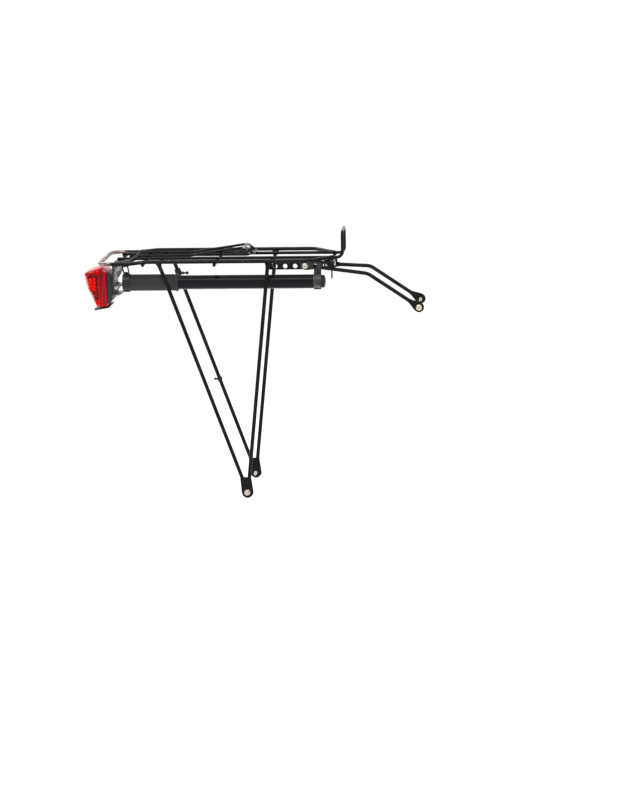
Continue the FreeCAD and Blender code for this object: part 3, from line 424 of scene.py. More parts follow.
lensLooks = {
    "shell": {"deep": (0.52, 0.001, 0.002), "light": (0.84, 0.006, 0.003), "roughness": (0.08, 0.2),
              "alpha": 0.95, "streak": (1, 1, 0.3)},
    "rim": {"deep": (0.17, 0.0, 0.004), "light": (0.62, 0.001, 0.012), "roughness": (0.06, 0.18),
            "streak": (1, 1, 0.06)},
    "cells": {"deep": (0.58, 0.001, 0.001), "light": (0.85, 0.008, 0.002), "roughness": (0.12, 0.24)},
    "tray": {"deep": (0.010, 0.001, 0.001), "light": (0.06, 0.002, 0.002), "roughness": (0.2, 0.4),
             "streak": (1, 1, 0.5)},
}
# What the red pieces share, unless a look above says otherwise
lensSurface = {
    "alpha": 1.0,
    "streak": (1, 1, 1),
    "window": 0.12,             # alpha of the shell's sides, over the cells
    "flowScale": 190,
    "scratchScale": 1400,
    "scratchStretch": (1, 1, 0.15),
    "edge": (1.0, 0.05, 0.03),
    "edgeShare": 0.4,
    "gloss": 0.12,
    "coat": 0.05,
    "coatRoughness": 0.05,
    "bump": (0.12, 0.00005),
}


# Clear red plastic, with the faint flow marks and scratches of a moulded lens.
def redPlastic(name, kind, windows=()):
    look = {**lensSurface, **lensLooks[kind]}
    material, tree, shader, place = startMaterial(name)
    flow = addNoise(tree, place, look["flowScale"], 3, look["streak"])
    scratch = addNoise(tree, place, look["scratchScale"], 2, look["scratchStretch"])
    tone = mixColours(tree, remap(tree, flow, 0.36, 0.64, 0, 1), look["deep"], look["light"])
    tone = mixColours(tree, addMath(tree, "MULTIPLY", onEdge(tree), look["edgeShare"]), tone, look["edge"])
    tree.links.new(tone, shader.inputs["Base Color"])
    tree.links.new(remap(tree, scratch, 0.35, 0.75, *look["roughness"]), shader.inputs["Roughness"])
    if windows:
        clear = nearSpots(tree, place, windows)
        tree.links.new(remap(tree, clear, 0, 1, look["alpha"], look["window"]), shader.inputs["Alpha"])
    else:
        shader.inputs["Alpha"].default_value = look["alpha"]
    shader.inputs["Specular IOR Level"].default_value = look["gloss"]
    shader.inputs["Coat Weight"].default_value = look["coat"]
    shader.inputs["Coat Roughness"].default_value = look["coatRoughness"]
    addBump(tree, shader, scratch, *look["bump"])
    return material


bulbLook = {
    "clear": (0.95, 0.93, 0.88),
    "smoky": (0.8, 0.76, 0.66),
    "swirlScale": 200,
    "roughness": (0.02, 0.1),
    "transmission": 0.9,
    "bump": (0.1, 0.0001),
}


def clearBulb(name):
    look = bulbLook
    material, tree, shader, place = startMaterial(name)
    swirl = addNoise(tree, place, look["swirlScale"], 3)
    tree.links.new(mixColours(tree, swirl, look["clear"], look["smoky"]), shader.inputs["Base Color"])
    tree.links.new(remap(tree, swirl, 0.3, 0.7, *look["roughness"]), shader.inputs["Roughness"])
    shader.inputs["Transmission Weight"].default_value = look["transmission"]
    addBump(tree, shader, swirl, *look["bump"])
    return material


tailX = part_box("outer_rail")[0].x
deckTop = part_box("outer_rail")[1].z
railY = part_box("outer_rail")[1].y
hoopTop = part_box("inner_rail_hoop")[1]
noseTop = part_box("clip_nose_bar")[1]

# Worn spots: x, y, z and radius, in metres
wornRail = [
    (tailX + 0.008, -railY + 0.010, deckTop - 0.005, 0.022),
    (tailX + 0.003, -0.035, deckTop - 0.005, 0.034),
    (tailX + 0.003, 0.010, deckTop - 0.005, 0.028),
    (tailX + 0.010, railY - 0.014, deckTop - 0.005, 0.024),
]
wornHoop = [
    (hoopTop.x, 0.02, hoopTop.z + 0.001, 0.008),
    (hoopTop.x, -0.02, hoopTop.z + 0.001, 0.008),
]
wornClip = [
    (noseTop.x, 0.019, noseTop.z, 0.008),
    (noseTop.x, -0.019, noseTop.z, 0.008),
]
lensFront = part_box("lens")[1]
lensWindows = []
for sign in sides.values():
    for behind, below, radius in ((0.022, 0.021, 0.025), (0.019, 0.040, 0.020)):
        lensWindows.append((lensFront.x - behind, sign * lensFront.y, lensFront.z - below, radius))

finishes = {
    "enamel": blackEnamel("blackEnamel"),
    "rail": blackEnamel("wornRailEnamel", wornRail, 0.0, 0.71),
    "hoop": blackEnamel("wornHoopEnamel", wornHoop, 0.0, 0.73),
    "clip": blackEnamel("wornClipEnamel", wornClip, 0.0, 0.73),
    "bars": blackEnamel("scuffedBarEnamel", (), 0.06, 0.73),
    "zinc": bareMetal("zincPlate", "zinc"),
    "coppery": bareMetal("copperyZinc", "coppery"),
    # The galvanised bracket gets painted shade on its plate, behind its rear face plus 4 mm
    "galvanised": bareMetal("galvanisedSheet", "galvanised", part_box("light_bracket")[0].x + 0.004),
    "spring": bareMetal("springWire", "springWire"),
    "bright": bareMetal("brightWire", "brightWire"),
    "polished": bareMetal("polishedRod", "polished"),
    "moulded": mouldedPlastic("mouldedBlack", "moulded"),
    "housing": mouldedPlastic("housingPlastic", "housing"),
    "grip": mouldedPlastic("pumpGrip", "grip"),
    "barrel": mouldedPlastic("pumpBarrel", "barrel", 0.05),
    "greyBand": mouldedPlastic("greyBand", "greyBand", 0.1),
    "strap": mouldedPlastic("strapSteel", "strapSteel", 0.1),
    "clipSteel": mouldedPlastic("clipSteel", "clipSteel", 0.1),
    "rubber": mouldedPlastic("pistonRubber", "rubber"),
    "lensShell": redPlastic("redLens", "shell", lensWindows),
    "lensRim": redPlastic("redLensRim", "rim"),
    "lensCells": redPlastic("redLensCells", "cells"),
    "lensTray": redPlastic("redLensTray", "tray"),
    "bulb": clearBulb("bulbGlass"),
}
print("finishes made,", len(finishes))


# Mesh building blocks. Every piece is made in its place, so that its object stays at the origin.

def addPiece(name, bm, finish, body, replaced=(), sharp=38):
    bmesh.ops.recalc_face_normals(bm, faces=bm.faces)
    mesh = bpy.data.meshes.new(name)
    bm.to_mesh(mesh)
    bm.free()
    mesh.shade_smooth()
    mesh.set_sharp_from_angle(angle=math.radians(sharp))
    mesh.materials.append(finishes[finish])
    piece = bpy.data.objects.new(name, mesh)
    bpy.context.scene.collection.objects.link(piece)
    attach(piece, body)
    if replaced:
        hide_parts(*replaced)
    return piece


# Joins rings of points, all with the same count, into a closed skin.
def skin(bm, rings, closed=False):
    loops = [[bm.verts.new(point) for point in ring] for ring in rings]
    count = len(loops[0])
    pairs = list(zip(loops, loops[1:]))
    if closed:
        pairs.append((loops[-1], loops[0]))
    for first, second in pairs:
        for index in range(count):
            after = (index + 1) % count
            bm.faces.new((first[index], first[after], second[after], second[index]))
    if not closed:
        bm.faces.new(loops[0])
        bm.faces.new(loops[-1])


# A sine or cosine raised to a power, with its sign kept: powers under 1 square a circle off.
def squared(value, power):
    return math.copysign(abs(value) ** power, value)


def ovalRing(centre, across, upward, halfAcross, halfUp, steps=24, square=2.0):
    ring = []
    for step in range(steps):
        angle = 2 * math.pi * step / steps
        a = squared(math.cos(angle), 2 / square) * halfAcross
        b = squared(math.sin(angle), 2 / square) * halfUp
        ring.append(centre + across * a + upward * b)
    return ring


# Sines and cosines at even steps over a quarter turn.
def quarterTurn(steps, first=1):
    bends = [math.pi / 2 * step / steps for step in range(first, steps + 1)]
    return [(math.sin(bend), math.cos(bend)) for bend in bends]


# A turned shape: the profile holds (along, radius), and a radius may be a function of the angle.
def turnShape(bm, origin, axis, profile, steps=40, closed=False):
    axis = axis.normalized()
    across = axis.orthogonal().normalized()
    upward = axis.cross(across)
    rings = []
    for along, radius in profile:
        ring = []
        for step in range(steps):
            angle = 2 * math.pi * step / steps
            reach = radius(angle) if callable(radius) else radius
            spoke = across * math.cos(angle) + upward * math.sin(angle)
            ring.append(origin + axis * along + spoke * reach)
        rings.append(ring)
    skin(bm, rings, closed)


# A hexagon's outline, with its corners cut to the limit.
def hexRadius(halfFlats, limit=1.0):
    def radius(angle):
        corner = (angle % (math.pi / 3)) - math.pi / 6
        return min(halfFlats / math.cos(corner), limit)
    return radius


# The outline of a cross recess.
def crossRadius(low, high):
    return lambda angle: low + (high - low) * abs(math.cos(2 * angle)) ** 5


# A block made of an outline in the XZ plane, from nearY to farY, with its edges rounded.
def slab(bm, outline, nearY, farY, rounding=0.0, segments=3):
    near = [bm.verts.new((x, nearY, z)) for x, z in outline]
    far = [bm.verts.new((x, farY, z)) for x, z in outline]
    faces = [bm.faces.new(near), bm.faces.new(list(reversed(far)))]
    count = len(outline)
    for index in range(count):
        after = (index + 1) % count
        faces.append(bm.faces.new((near[index], far[index], far[after], near[after])))
    if rounding:
        edges = list(dict.fromkeys(edge for face in faces for edge in face.edges))
        bmesh.ops.bevel(bm, geom=edges, offset=rounding, segments=segments, profile=0.5, affect="EDGES",
                        clamp_overlap=True)


# A bend from one point to another, drawn towards the corner between them.
def bendPoints(enter, corner, leave, steps):
    shares = [step / steps for step in range(steps + 1)]
    return [enter * (1 - t) ** 2 + corner * 2 * t * (1 - t) + leave * t ** 2 for t in shares]


# A line of points rounded at its corners.
def roundedLine(points, bend, steps=8):
    line = [points[0]]
    for before, corner, after in zip(points, points[1:], points[2:]):
        enter = corner + (before - corner).normalized() * bend
        leave = corner + (after - corner).normalized() * bend
        line += bendPoints(enter, corner, leave, steps)
    line.append(points[-1])
    return line


# Sheet metal bent along a line in the XZ plane, which runs along its outer face.
def bentSheet(bm, line, wall, middleY, halfWidth):
    rings = []
    left = Vector((0, halfWidth, 0))
    shift = Vector((0, middleY, 0))
    for index, point in enumerate(line):
        along = (line[min(index + 1, len(line) - 1)] - line[max(index - 1, 0)]).normalized()
        inner = point + Vector((-along.z, 0, along.x)) * wall
        rings.append([corner + shift for corner in (point - left, point + left, inner + left, inner - left)])
    skin(bm, rings)


# Weld metal: lumpy beads where rods meet, and flares where the stays meet the rail

# Lengths in mm
weld = {
    # half sizes of the beads
    "onInner": (3.3, 2.9, 1.25),        # a crossbar on the inner rail
    "onRail": (3.4, 2.2, 2.0),          # a crossbar on the outer rail
    "railEnd": (5.0, 2.2, 1.9),         # the outer rail's front ends on the inner rail
    "stayTop": (3.0, 2.4, 1.6),         # in front of and behind a stay's top
    "lump": 0.34,                       # height of the lumps, as a share of a bead's size
    "lumpScale": 1.9,
    "railEndSpots": ((120, 34), (130.5, 30.5)),     # x and y
    "railEndDrop": 3.8,
    "innerInset": 2.5,
    "railInset": 6.5,
    "rodRadius": 3.0,
    "staySlope": {"front": 0.115, "rear": -0.40},   # x against z
    "stayDrop": 5.2,
    "stayBeadOffset": 5.8,
    "flareHeight": 9.0,
    "flareGrow": 2.6,
    "flareSteps": 8,
    "flarePower": 2.4,
}


# A lumpy bead; each seed gives it other lumps.
def weldBead(bm, centre, halves, seed):
    made = bmesh.ops.create_icosphere(bm, subdivisions=2, radius=1)
    shift = Vector((seed * 1.31, seed * 0.37, -seed))
    for vert in made["verts"]:
        way = vert.co.normalized()
        lump = 1 + weld["lump"] * noise.noise(way * weld["lumpScale"] + shift)
        vert.co = centre + Vector([part * half * mm for part, half in zip(way, halves)]) * lump


def deckWelds():
    bm = bmesh.new()
    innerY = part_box("inner_rail_hoop")[1].y - weld["innerInset"] * mm
    bars = ["rear_crossbar", "clip_pivot_rod", "crossbar_tail", "crossbar_rear_stays", "crossbar_middle",
            "crossbar_front_stays", "front_crossbar"]
    innerOnly = ("front_crossbar", "crossbar_tail")     # these have no bead on the outer rail
    seed = 0
    for bar in bars:
        low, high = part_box(bar)
        x = (low.x + high.x) / 2
        edge = min(high.y, railY - weld["railInset"] * mm)
        for sign in sides.values():
            seed += 1
            weldBead(bm, Vector((x, sign * innerY, high.z)), weld["onInner"], seed)
            if bar not in innerOnly:
                spot = Vector((x, sign * (edge + 0.3 * mm), high.z - 0.2 * mm))
                weldBead(bm, spot, weld["onRail"], seed + 20)
    for x, y in weld["railEndSpots"]:
        for sign in sides.values():
            seed += 1
            spot = Vector((x * mm, sign * y * mm, deckTop - weld["railEndDrop"] * mm))
            weldBead(bm, spot, weld["railEnd"], seed + 40)
    addPiece("deck_welds", bm, "bars", "rack", sharp=60)


# A stay's top end spreads along the rail where it is brazed on.
def stayFlares():
    bm = bmesh.new()
    radius = weld["rodRadius"] * mm
    for side, sign in sides.items():
        for end, slope in weld["staySlope"].items():
            low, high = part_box(f"{end}_stay_{side}")
            y = sign * (abs(low.y + high.y) / 2)
            topX = high.x - radius if end == "front" else low.x + radius
            top = Vector((topX, y, deckTop - weld["stayDrop"] * mm))
            down = -Vector((slope, 0, 1)).normalized()
            rings = []
            for step in range(weld["flareSteps"] + 1):
                t = step / weld["flareSteps"]
                centre = top + down * weld["flareHeight"] * mm * (1 - t)
                spread = t ** weld["flarePower"]
                halfX = radius * 1.02 + weld["flareGrow"] * mm * spread
                halfY = radius * 1.02 - 0.2 * mm * spread
                rings.append(ovalRing(centre, Vector((1, 0, 0)), Vector((0, 1, 0)), halfX, halfY, 28))
            skin(bm, rings)
            for way, seed in ((1, 60), (-1, 70)):
                spot = top + Vector((way * weld["stayBeadOffset"] * mm, sign * 0.5 * mm, 1 * mm))
                weldBead(bm, spot, weld["stayTop"], seed + sign + slope)
    addPiece("stay_flares", bm, "enamel", "rack", sharp=60)


deckWelds()
stayFlares()
print("welds made")


# Feet: the two stays of a side are pressed together and flattened to an eye

# Lengths in mm
foot = {
    "top": 24.0,            # above the bolt
    "rearTopX": -8.45,
    "frontTopX": 3.35,
    "eyeRadius": 9.5,
    "eyeHalf": 2.0,         # half the plate's thickness at the eye
    "rodHalf": 3.0,
    "steps": 26,
    "outlineSteps": 44,
    "squareX": 0.62,
    "squareY": 0.55,
    "ringSpan": 0.96,       # share of half a turn that spaces the rings
    "tipSquare": 0.6,       # least square of the eye's half width, so that its foot isn't a point
    "swell": (1.3, 0.15),   # how soon the foot is as thick as the rods
    "groove": (2.2, 5),     # half width of the groove between the rods, at the eye and what is added above
    "valley": 0.55,         # its depth, as a share of the thickness
    "valleyRise": 1.6,
}


def stayFoot(side, sign):
    bm = bmesh.new()
    y = sign * (railY - foot["rodHalf"] * mm)
    eye = foot["eyeRadius"]
    leftTop = foot["rearTopX"] - foot["rodHalf"]
    rightTop = foot["frontTopX"] + foot["rodHalf"]
    swell, swellFrom = foot["swell"]
    grooveHalf, grooveGrow = foot["groove"]
    rings = []
    for step in range(foot["steps"] + 1):
        t = step / foot["steps"]
        z = -eye + (foot["top"] + eye) * (0.5 - 0.5 * math.cos(math.pi * t * foot["ringSpan"]))
        up = min(max(z / foot["top"], 0), 1)
        if z < 0:
            reach = math.sqrt(max(eye ** 2 - z ** 2, foot["tipSquare"]))
            left, right = -reach, reach
        else:
            left = -eye + (leftTop + eye) * up
            right = eye + (rightTop - eye) * up
        half = foot["eyeHalf"] + (foot["rodHalf"] - foot["eyeHalf"]) * max(up * swell - swellFrom, 0)
        middle = (left + right) / 2
        width = (right - left) / 2
        ring = []
        for index in range(foot["outlineSteps"]):
            angle = 2 * math.pi * index / foot["outlineSteps"]
            a = squared(math.cos(angle), foot["squareX"])
            b = squared(math.sin(angle), foot["squareY"])
            dip = math.exp(-(a * width / (grooveHalf + grooveGrow * up)) ** 2)
            valley = dip * min(up * foot["valleyRise"], 1) * foot["valley"]
            ring.append(Vector(((middle + a * width) * mm, y + b * half * (1 - valley) * mm, z * mm)))
        rings.append(ring)
    skin(bm, rings)
    addPiece(f"stay_foot_{side}", bm, "enamel", "rack", (f"foot_plate_{side}",), 50)


for side, sign in sides.items():
    stayFoot(side, sign)
print("feet made")


# Bolts, nuts and screws

outwards = {"right": Vector((0, -1, 0)), "left": Vector((0, 1, 0))}
rearEyes = {"right": (96.4, 357.3), "left": (127.5, 347.6)}     # x and z of the clamp bolts, mm
thread = {"depth": 0.32, "ringsPerPitch": 5}

# All in mm; a seat is how far under the bolt's outer end it sits.
# A recess with one size is a hexagon, and with two sizes it is a cross.
commonBolt = {"headRadius": 4.9, "pitch": 0.8, "plain": 0}
boltSizes = {
    "foot": {"shank": 2.5, "length": 17.9, "headHeight": 3.6, "seat": 3.6, "recess": (1.9,)},
    "rightClamp": {"shank": 2.95, "length": 15.2, "headHeight": 3.3, "seat": 3.4, "recess": (1.0, 2.6),
                   "pitch": 1.0, "plain": 7.5},
    "leftClamp": {"shank": 2.95, "length": 12.5, "headHeight": 3.3, "seat": 3.4, "recess": (1.0, 2.6),
                  "pitch": 1.0, "plain": 6.5},
    "strutEnd": {"shank": 2.48, "length": 16.1, "headHeight": 3.1, "seat": 3.2, "recess": (0.9, 2.5),
                 "plain": 3.4},
    "lamp": {"shank": 1.95, "length": 12.9, "headHeight": 1.9, "seat": 2.0, "recess": (0.7, 1.9),
             "pitch": 0.7, "headRadius": 3.5},
    "strap": {"shank": 2.48, "length": 8.9, "headHeight": 2.5, "seat": 2.6, "recess": (0.8, 2.2),
              "headRadius": 4.1},
}
clampNut = {"bore": 3.04, "halfFlats": 4.75, "thickness": 5, "faceY": {"right": -40.6, "left": 39.1}}


# Rings of a threaded shank, as (along, radius function), in metres.
def threadRings(start, end, radius, pitch):
    rings = []
    count = max(int((end - start) / pitch * thread["ringsPerPitch"]), 4)
    for index in range(count + 1):
        along = start + (end - start) * index / count

        def ridge(angle, along=along):
            phase = (along / pitch + angle / (2 * math.pi)) % 1
            return radius - thread["depth"] * mm * abs(2 * phase - 1)
        rings.append((along, ridge))
    return rings


# A domed bolt: its outer end is at the tip, and outward points away from the work.
def domedBolt(bm, kind, tip, outward):
    size = {**commonBolt, **boltSizes[kind]}
    shank, length, pitch, plain = (size[key] * mm for key in ("shank", "length", "pitch", "plain"))
    headRadius, headHeight = (size[key] * mm for key in ("headRadius", "headHeight"))
    recess = [part * mm for part in size["recess"]]
    hollow = hexRadius(*recess) if len(recess) == 1 else crossRadius(*recess)
    profile = [(-length, shank * 0.8)]
    profile += threadRings(-length + 0.4 * mm, -plain, shank, pitch)
    if plain:
        profile += [(-plain + 0.2 * mm, shank), (0, shank)]
    profile += [(0, headRadius * 0.98), (headHeight * 0.18, headRadius)]
    for rise, reach in quarterTurn(8):
        profile.append((headHeight * (0.3 + 0.7 * rise), headRadius * (0.52 + 0.48 * reach)))
    profile += [(headHeight, hollow), (headHeight * 0.93, hollow), (headHeight * 0.4, hollow)]
    turnShape(bm, tip - outward * size["seat"] * mm, outward, profile, 48)


def plainNut(bm, origin, outward):
    bore, halfFlats, thickness = (clampNut[key] * mm for key in ("bore", "halfFlats", "thickness"))
    flats = hexRadius(halfFlats)
    chamfer = hexRadius(halfFlats, halfFlats / math.cos(math.pi / 6) * 0.93)
    profile = [(0, bore), (0, chamfer), (thickness * 0.14, flats), (thickness * 0.86, flats),
               (thickness, chamfer), (thickness, bore)]
    turnShape(bm, origin, outward, profile, 48, closed=True)


def footBolts():
    bm = bmesh.new()
    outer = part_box("foot_bolts")[1].y
    for side, sign in sides.items():
        domedBolt(bm, "foot", Vector((0, sign * outer, 0)), outwards[side])
    addPiece("foot_bolt_pair", bm, "zinc", "rack", ("foot_bolts",), 32)


def clampFasteners():
    bolts = bmesh.new()
    nuts = bmesh.new()
    low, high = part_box("clamp_bolts")
    outer = {"right": low.y, "left": high.y}
    for side in sides:
        x, z = (part * mm for part in rearEyes[side])
        domedBolt(bolts, f"{side}Clamp", Vector((x, outer[side], z)), outwards[side])
        plainNut(nuts, Vector((x, clampNut["faceY"][side] * mm, z)), -outwards[side])
    addPiece("clamp_bolt_pair", bolts, "zinc", "rack", ("clamp_bolts",), 32)
    addPiece("clamp_nut_pair", nuts, "zinc", "rack", ("clamp_nuts",), 32)


def strutEndBolts():
    for side, sign in sides.items():
        low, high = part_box(f"strut_end_bolt_{side}")
        outer = low.y if sign < 0 else high.y
        bm = bmesh.new()
        domedBolt(bm, "strutEnd", Vector(((low.x + high.x) / 2, outer, (low.z + high.z) / 2)), outwards[side])
        addPiece(f"strut_screw_{side}", bm, "coppery", f"{side}_strut", (f"strut_end_bolt_{side}",),
                 32)


footBolts()
clampFasteners()
strutEndBolts()
print("bolts made")


# Struts: round rod that is pressed flat at both ends

# Lengths in mm
strutShape = {
    "axisHalf": 42.0,
    "bend": (194.0, 344.0),         # x and z
    "frontEye": (273.6, 290.4),
    "rodRadius": 3.0,
    "rearEyeRadius": 6.8,
    "frontEyeRadius": 8.0,
    "bendReach": 6.0,
    "neck": 21.0,                   # from an eye's middle to where the rod is round again
    "plateHalf": 1.5,
    "tipSquare": 0.3,               # least square of the eye's half width
    "flatShare": 0.7,               # share of the eye's radius that stays flat
    "roundShare": 0.6,              # share within which the eye's outline is an arc
    "armSteps": 40,
    "bendSteps": 12,
    "crowding": 1.6,                # draws the rings towards the eyes
}


def eased(t):
    t = min(max(t, 0), 1)
    return t * t * (3 - 2 * t)


def strut(side, sign):
    shape = strutShape
    rear, bend, front = (Vector((x, 0, z)) for x, z in (rearEyes[side], shape["bend"], shape["frontEye"]))
    enter = (bend - rear).normalized()
    leave = (front - bend).normalized()
    start = rear - enter * shape["rearEyeRadius"]
    end = front + leave * shape["frontEyeRadius"]
    first = bend - enter * shape["bendReach"]
    last = bend + leave * shape["bendReach"]
    shares = [(step / shape["armSteps"]) ** shape["crowding"] for step in range(shape["armSteps"])]
    spine = [start + (first - start) * share for share in shares]
    spine += bendPoints(first, bend, last, shape["bendSteps"])
    spine += [end + (last - end) * share for share in reversed(shares)]
    rings = []
    for index, point in enumerate(spine):
        before = spine[max(index - 1, 0)]
        after = spine[min(index + 1, len(spine) - 1)]
        along = (after - before).normalized()
        across = Vector((-along.z, 0, along.x))
        reachRear = (point - rear).length
        reachFront = (point - front).length
        if reachRear < reachFront:
            reach, radius = reachRear, shape["rearEyeRadius"]
            beyond = (point - rear).dot(enter) < 0
        else:
            reach, radius = reachFront, shape["frontEyeRadius"]
            beyond = (point - front).dot(leave) > 0
        flat = radius * shape["flatShare"]
        roundness = 0 if beyond else eased((reach - flat) / (shape["neck"] - flat))
        width = math.sqrt(max(radius ** 2 - reach ** 2, shape["tipSquare"]))
        if not beyond:
            away = eased(reach / shape["neck"])
            neck = radius * (1 - away) + shape["rodRadius"] * away
            width = min(max(width if reach < radius * shape["roundShare"] else 0, neck), radius)
        half = shape["plateHalf"] + (shape["rodRadius"] - shape["plateHalf"]) * roundness
        middle = shape["axisHalf"] + shape["plateHalf"] * (1 - roundness)
        centre = Vector((point.x, sign * middle, point.z)) * mm
        square = 5.0 - 3.0 * roundness
        rings.append(ovalRing(centre, across, Vector((0, 1, 0)), width * mm, half * mm, 28, square))
    bm = bmesh.new()
    skin(bm, rings)
    addPiece(f"strut_rod_{side}", bm, "enamel", f"{side}_strut", (f"strut_{side}",), 48)


for side, sign in sides.items():
    strut(side, sign)
print("struts made")


# Perforated plate: pressed rims round its holes

plate = {
    "firstHole": 49.6,
    "pitch": 15.6,
    "holes": 6,
    "boltedHole": 3,        # counted from 0: the strut covers its outer rim
    "holeZ": 357.3,
    # the rim's section in mm: out of the plate's face, and radius
    "rim": ((-0.2, 3.5), (0.12, 3.55), (0.2, 3.85), (0.12, 4.2), (-0.2, 4.3)),
}


def holeRims():
    low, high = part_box("side_plate")
    profile = [(out * mm, radius * mm) for out, radius in plate["rim"]]
    bm = bmesh.new()
    for index in range(plate["holes"]):
        x = (plate["firstHole"] + plate["pitch"] * index) * mm
        for face, way in ((low.y, -1), (high.y, 1)):
            if index == plate["boltedHole"] and way < 0:
                continue
            spot = Vector((x, face, plate["holeZ"] * mm))
            turnShape(bm, spot, Vector((0, way, 0)), profile, 40, closed=True)
    addPiece("plate_hole_rims", bm, "enamel", "rack", sharp=60)


holeRims()
print("hole rims made")


# Frame pump: fluted handle, grey ribbed band at the barrel's front and ribbed cap. Sizes in mm.

pumpShape = {
    "flutes": 64,
    "fluteDepth": 0.10,
    "fluteShares": (0.2, 0.35, 0.5, 0.65, 0.8),     # of the handle's length
    "gripWall": 1.7,
    "gripHole": 2.4,
    "gripRounding": 2.2,
    "bandRibs": 18,
    "bandRibDepth": 0.35,
    "bandPlug": 9.6,            # radius of the part inside the barrel
    "bandShoulder": 8.1,        # how far the plug reaches into the barrel
    "capRibs": 22,
    "capRibDepth": 0.45,
}


# Where a node that is turned about x starts, with its radius and length.
def turnedNode(name):
    low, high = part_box(name)
    start = Vector((low.x, (low.y + high.y) / 2, (low.z + high.z) / 2))
    return start, (high.z - low.z) / 2, high.x - low.x


# A radius with ribs round it; a higher power makes the ribs' gaps narrower.
def ribbedRadius(radius, depth, ribs, power):
    return lambda angle: radius - depth * (0.5 + 0.5 * math.cos(ribs * angle)) ** power


def pumpHandle():
    start, radius, length = turnedNode("pump_handle")
    bore = radius - pumpShape["gripWall"] * mm
    hole = pumpShape["gripHole"] * mm
    rounding = pumpShape["gripRounding"] * mm

    def fluted(angle):
        return radius - pumpShape["fluteDepth"] * mm * (1 + math.cos(pumpShape["flutes"] * angle)) - 0.05 * mm

    profile = [(4 * mm, bore), (4 * mm, hole), (0.2 * mm, hole), (0, 3.2 * mm)]
    for rise, reach in quarterTurn(6, 0):
        profile.append((rounding * (1 - reach), radius - rounding + (rounding - 0.2 * mm) * rise))
    profile += [(5 * mm, radius - 0.2 * mm), (5.6 * mm, radius - 0.5 * mm), (6.2 * mm, fluted)]
    profile += [(length * share, fluted) for share in pumpShape["fluteShares"]]
    profile += [
        (length - 6.2 * mm, fluted), (length - 5.8 * mm, radius - 0.5 * mm),
        (length - 5.2 * mm, radius - 0.45 * mm), (length - 4.6 * mm, radius),
        (length - 1.0 * mm, radius), (length - 0.3 * mm, radius - 0.25 * mm),
        (length, radius - 0.8 * mm), (length, bore),
    ]
    bm = bmesh.new()
    turnShape(bm, start, Vector((1, 0, 0)), profile, pumpShape["flutes"] * 4, closed=True)
    addPiece("pump_grip", bm, "grip", "pump_slider", ("pump_handle",), 40)


def pumpHead():
    start, radius, length = turnedNode("pump_head")
    plug = pumpShape["bandPlug"] * mm
    shoulder = pumpShape["bandShoulder"] * mm
    ribbed = ribbedRadius(radius, pumpShape["bandRibDepth"] * mm, pumpShape["bandRibs"], 3)
    profile = [
        (0, plug * 0.6), (0, plug - 0.3 * mm), (0.3 * mm, plug), (shoulder, plug),
        (shoulder, radius - 0.4 * mm), (shoulder + 0.5 * mm, radius),
        (shoulder + 1.6 * mm, radius), (shoulder + 2.1 * mm, ribbed),
        (length - 2.3 * mm, ribbed), (length - 1.8 * mm, radius), (length - 0.5 * mm, radius),
        (length, radius - 0.5 * mm), (length, plug * 0.5),
    ]
    bm = bmesh.new()
    turnShape(bm, start, Vector((1, 0, 0)), profile, 144)
    addPiece("pump_band_head", bm, "greyBand", "rack", ("pump_head",), 35)


def pumpCap():
    start, radius, length = turnedNode("pump_cap")
    ribbed = ribbedRadius(radius, pumpShape["capRibDepth"] * mm, pumpShape["capRibs"], 2)
    profile = [
        (0, radius * 0.5), (0, radius - 0.5 * mm), (0.4 * mm, radius - 0.1 * mm),
        (1.2 * mm, radius - 0.1 * mm), (1.7 * mm, ribbed),
        (length - 2.4 * mm, ribbed), (length - 1.4 * mm, radius - 1.0 * mm),
        (length - 0.7 * mm, radius - 2.4 * mm), (length - 0.5 * mm, 5.2 * mm), (length, 4.8 * mm),
        (length, 2.9 * mm), (length - 4.5 * mm, 2.6 * mm),
    ]
    bm = bmesh.new()
    turnShape(bm, start, Vector((1, 0, 0)), profile, 132)
    addPiece("pump_end_cap", bm, "moulded", "rack", ("pump_cap",), 35)


pumpHandle()
pumpHead()
pumpCap()
print("pump made")


# Tail light: lens shell, tray with reflector cells, rim, housing, base lip and folded bracket

lamp = {
    "front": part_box("lens")[1].x,
    "top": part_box("lens")[1].z,
    "bottom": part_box("lens")[0].z,
    "half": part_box("lens")[1].y,
    "rimDepth": 11.5,           # this and what follows in mm
    "shoulder": 7,              # how far the rim's top front corner is cut down
    "wall": 1.3,
    "shellInset": 1.2,
    "ridges": ((1.6, 4, 50), (6.0, 3, 54)),     # on the rim's sides: behind, from and to
    "trayInset": 5.0,
    "cell": 5.5,
    "cellRise": 1.2,
    "cellSunk": 0.6,
    "seam": 3.0,                # from the housing's rear face to its seam
}


# A point of the lamp: how far behind the lens's front plane and above its foot, in mm.
def lampPoint(behind, above):
    return (lamp["front"] - behind * mm, lamp["bottom"] + above * mm)


def lampPoints(*points):
    return [lampPoint(behind, above) for behind, above in points]


def lensShell():
    side = lamp["half"] - lamp["shellInset"] * mm
    depth = lamp["rimDepth"] - 0.5
    outline = lampPoints((depth, 0), (depth, 60), (12.5, 61), (35, 53), (33, 37), (27, 21), (16.5, 0))
    bm = bmesh.new()
    slab(bm, outline, -side, side, 1.6 * mm, 4)
    piece = addPiece("lens_shell", bm, "lensShell", "rack", ("lens",), 30)
    wall = piece.modifiers.new("wall", "SOLIDIFY")
    wall.thickness = lamp["wall"] * mm
    wall.offset = -1


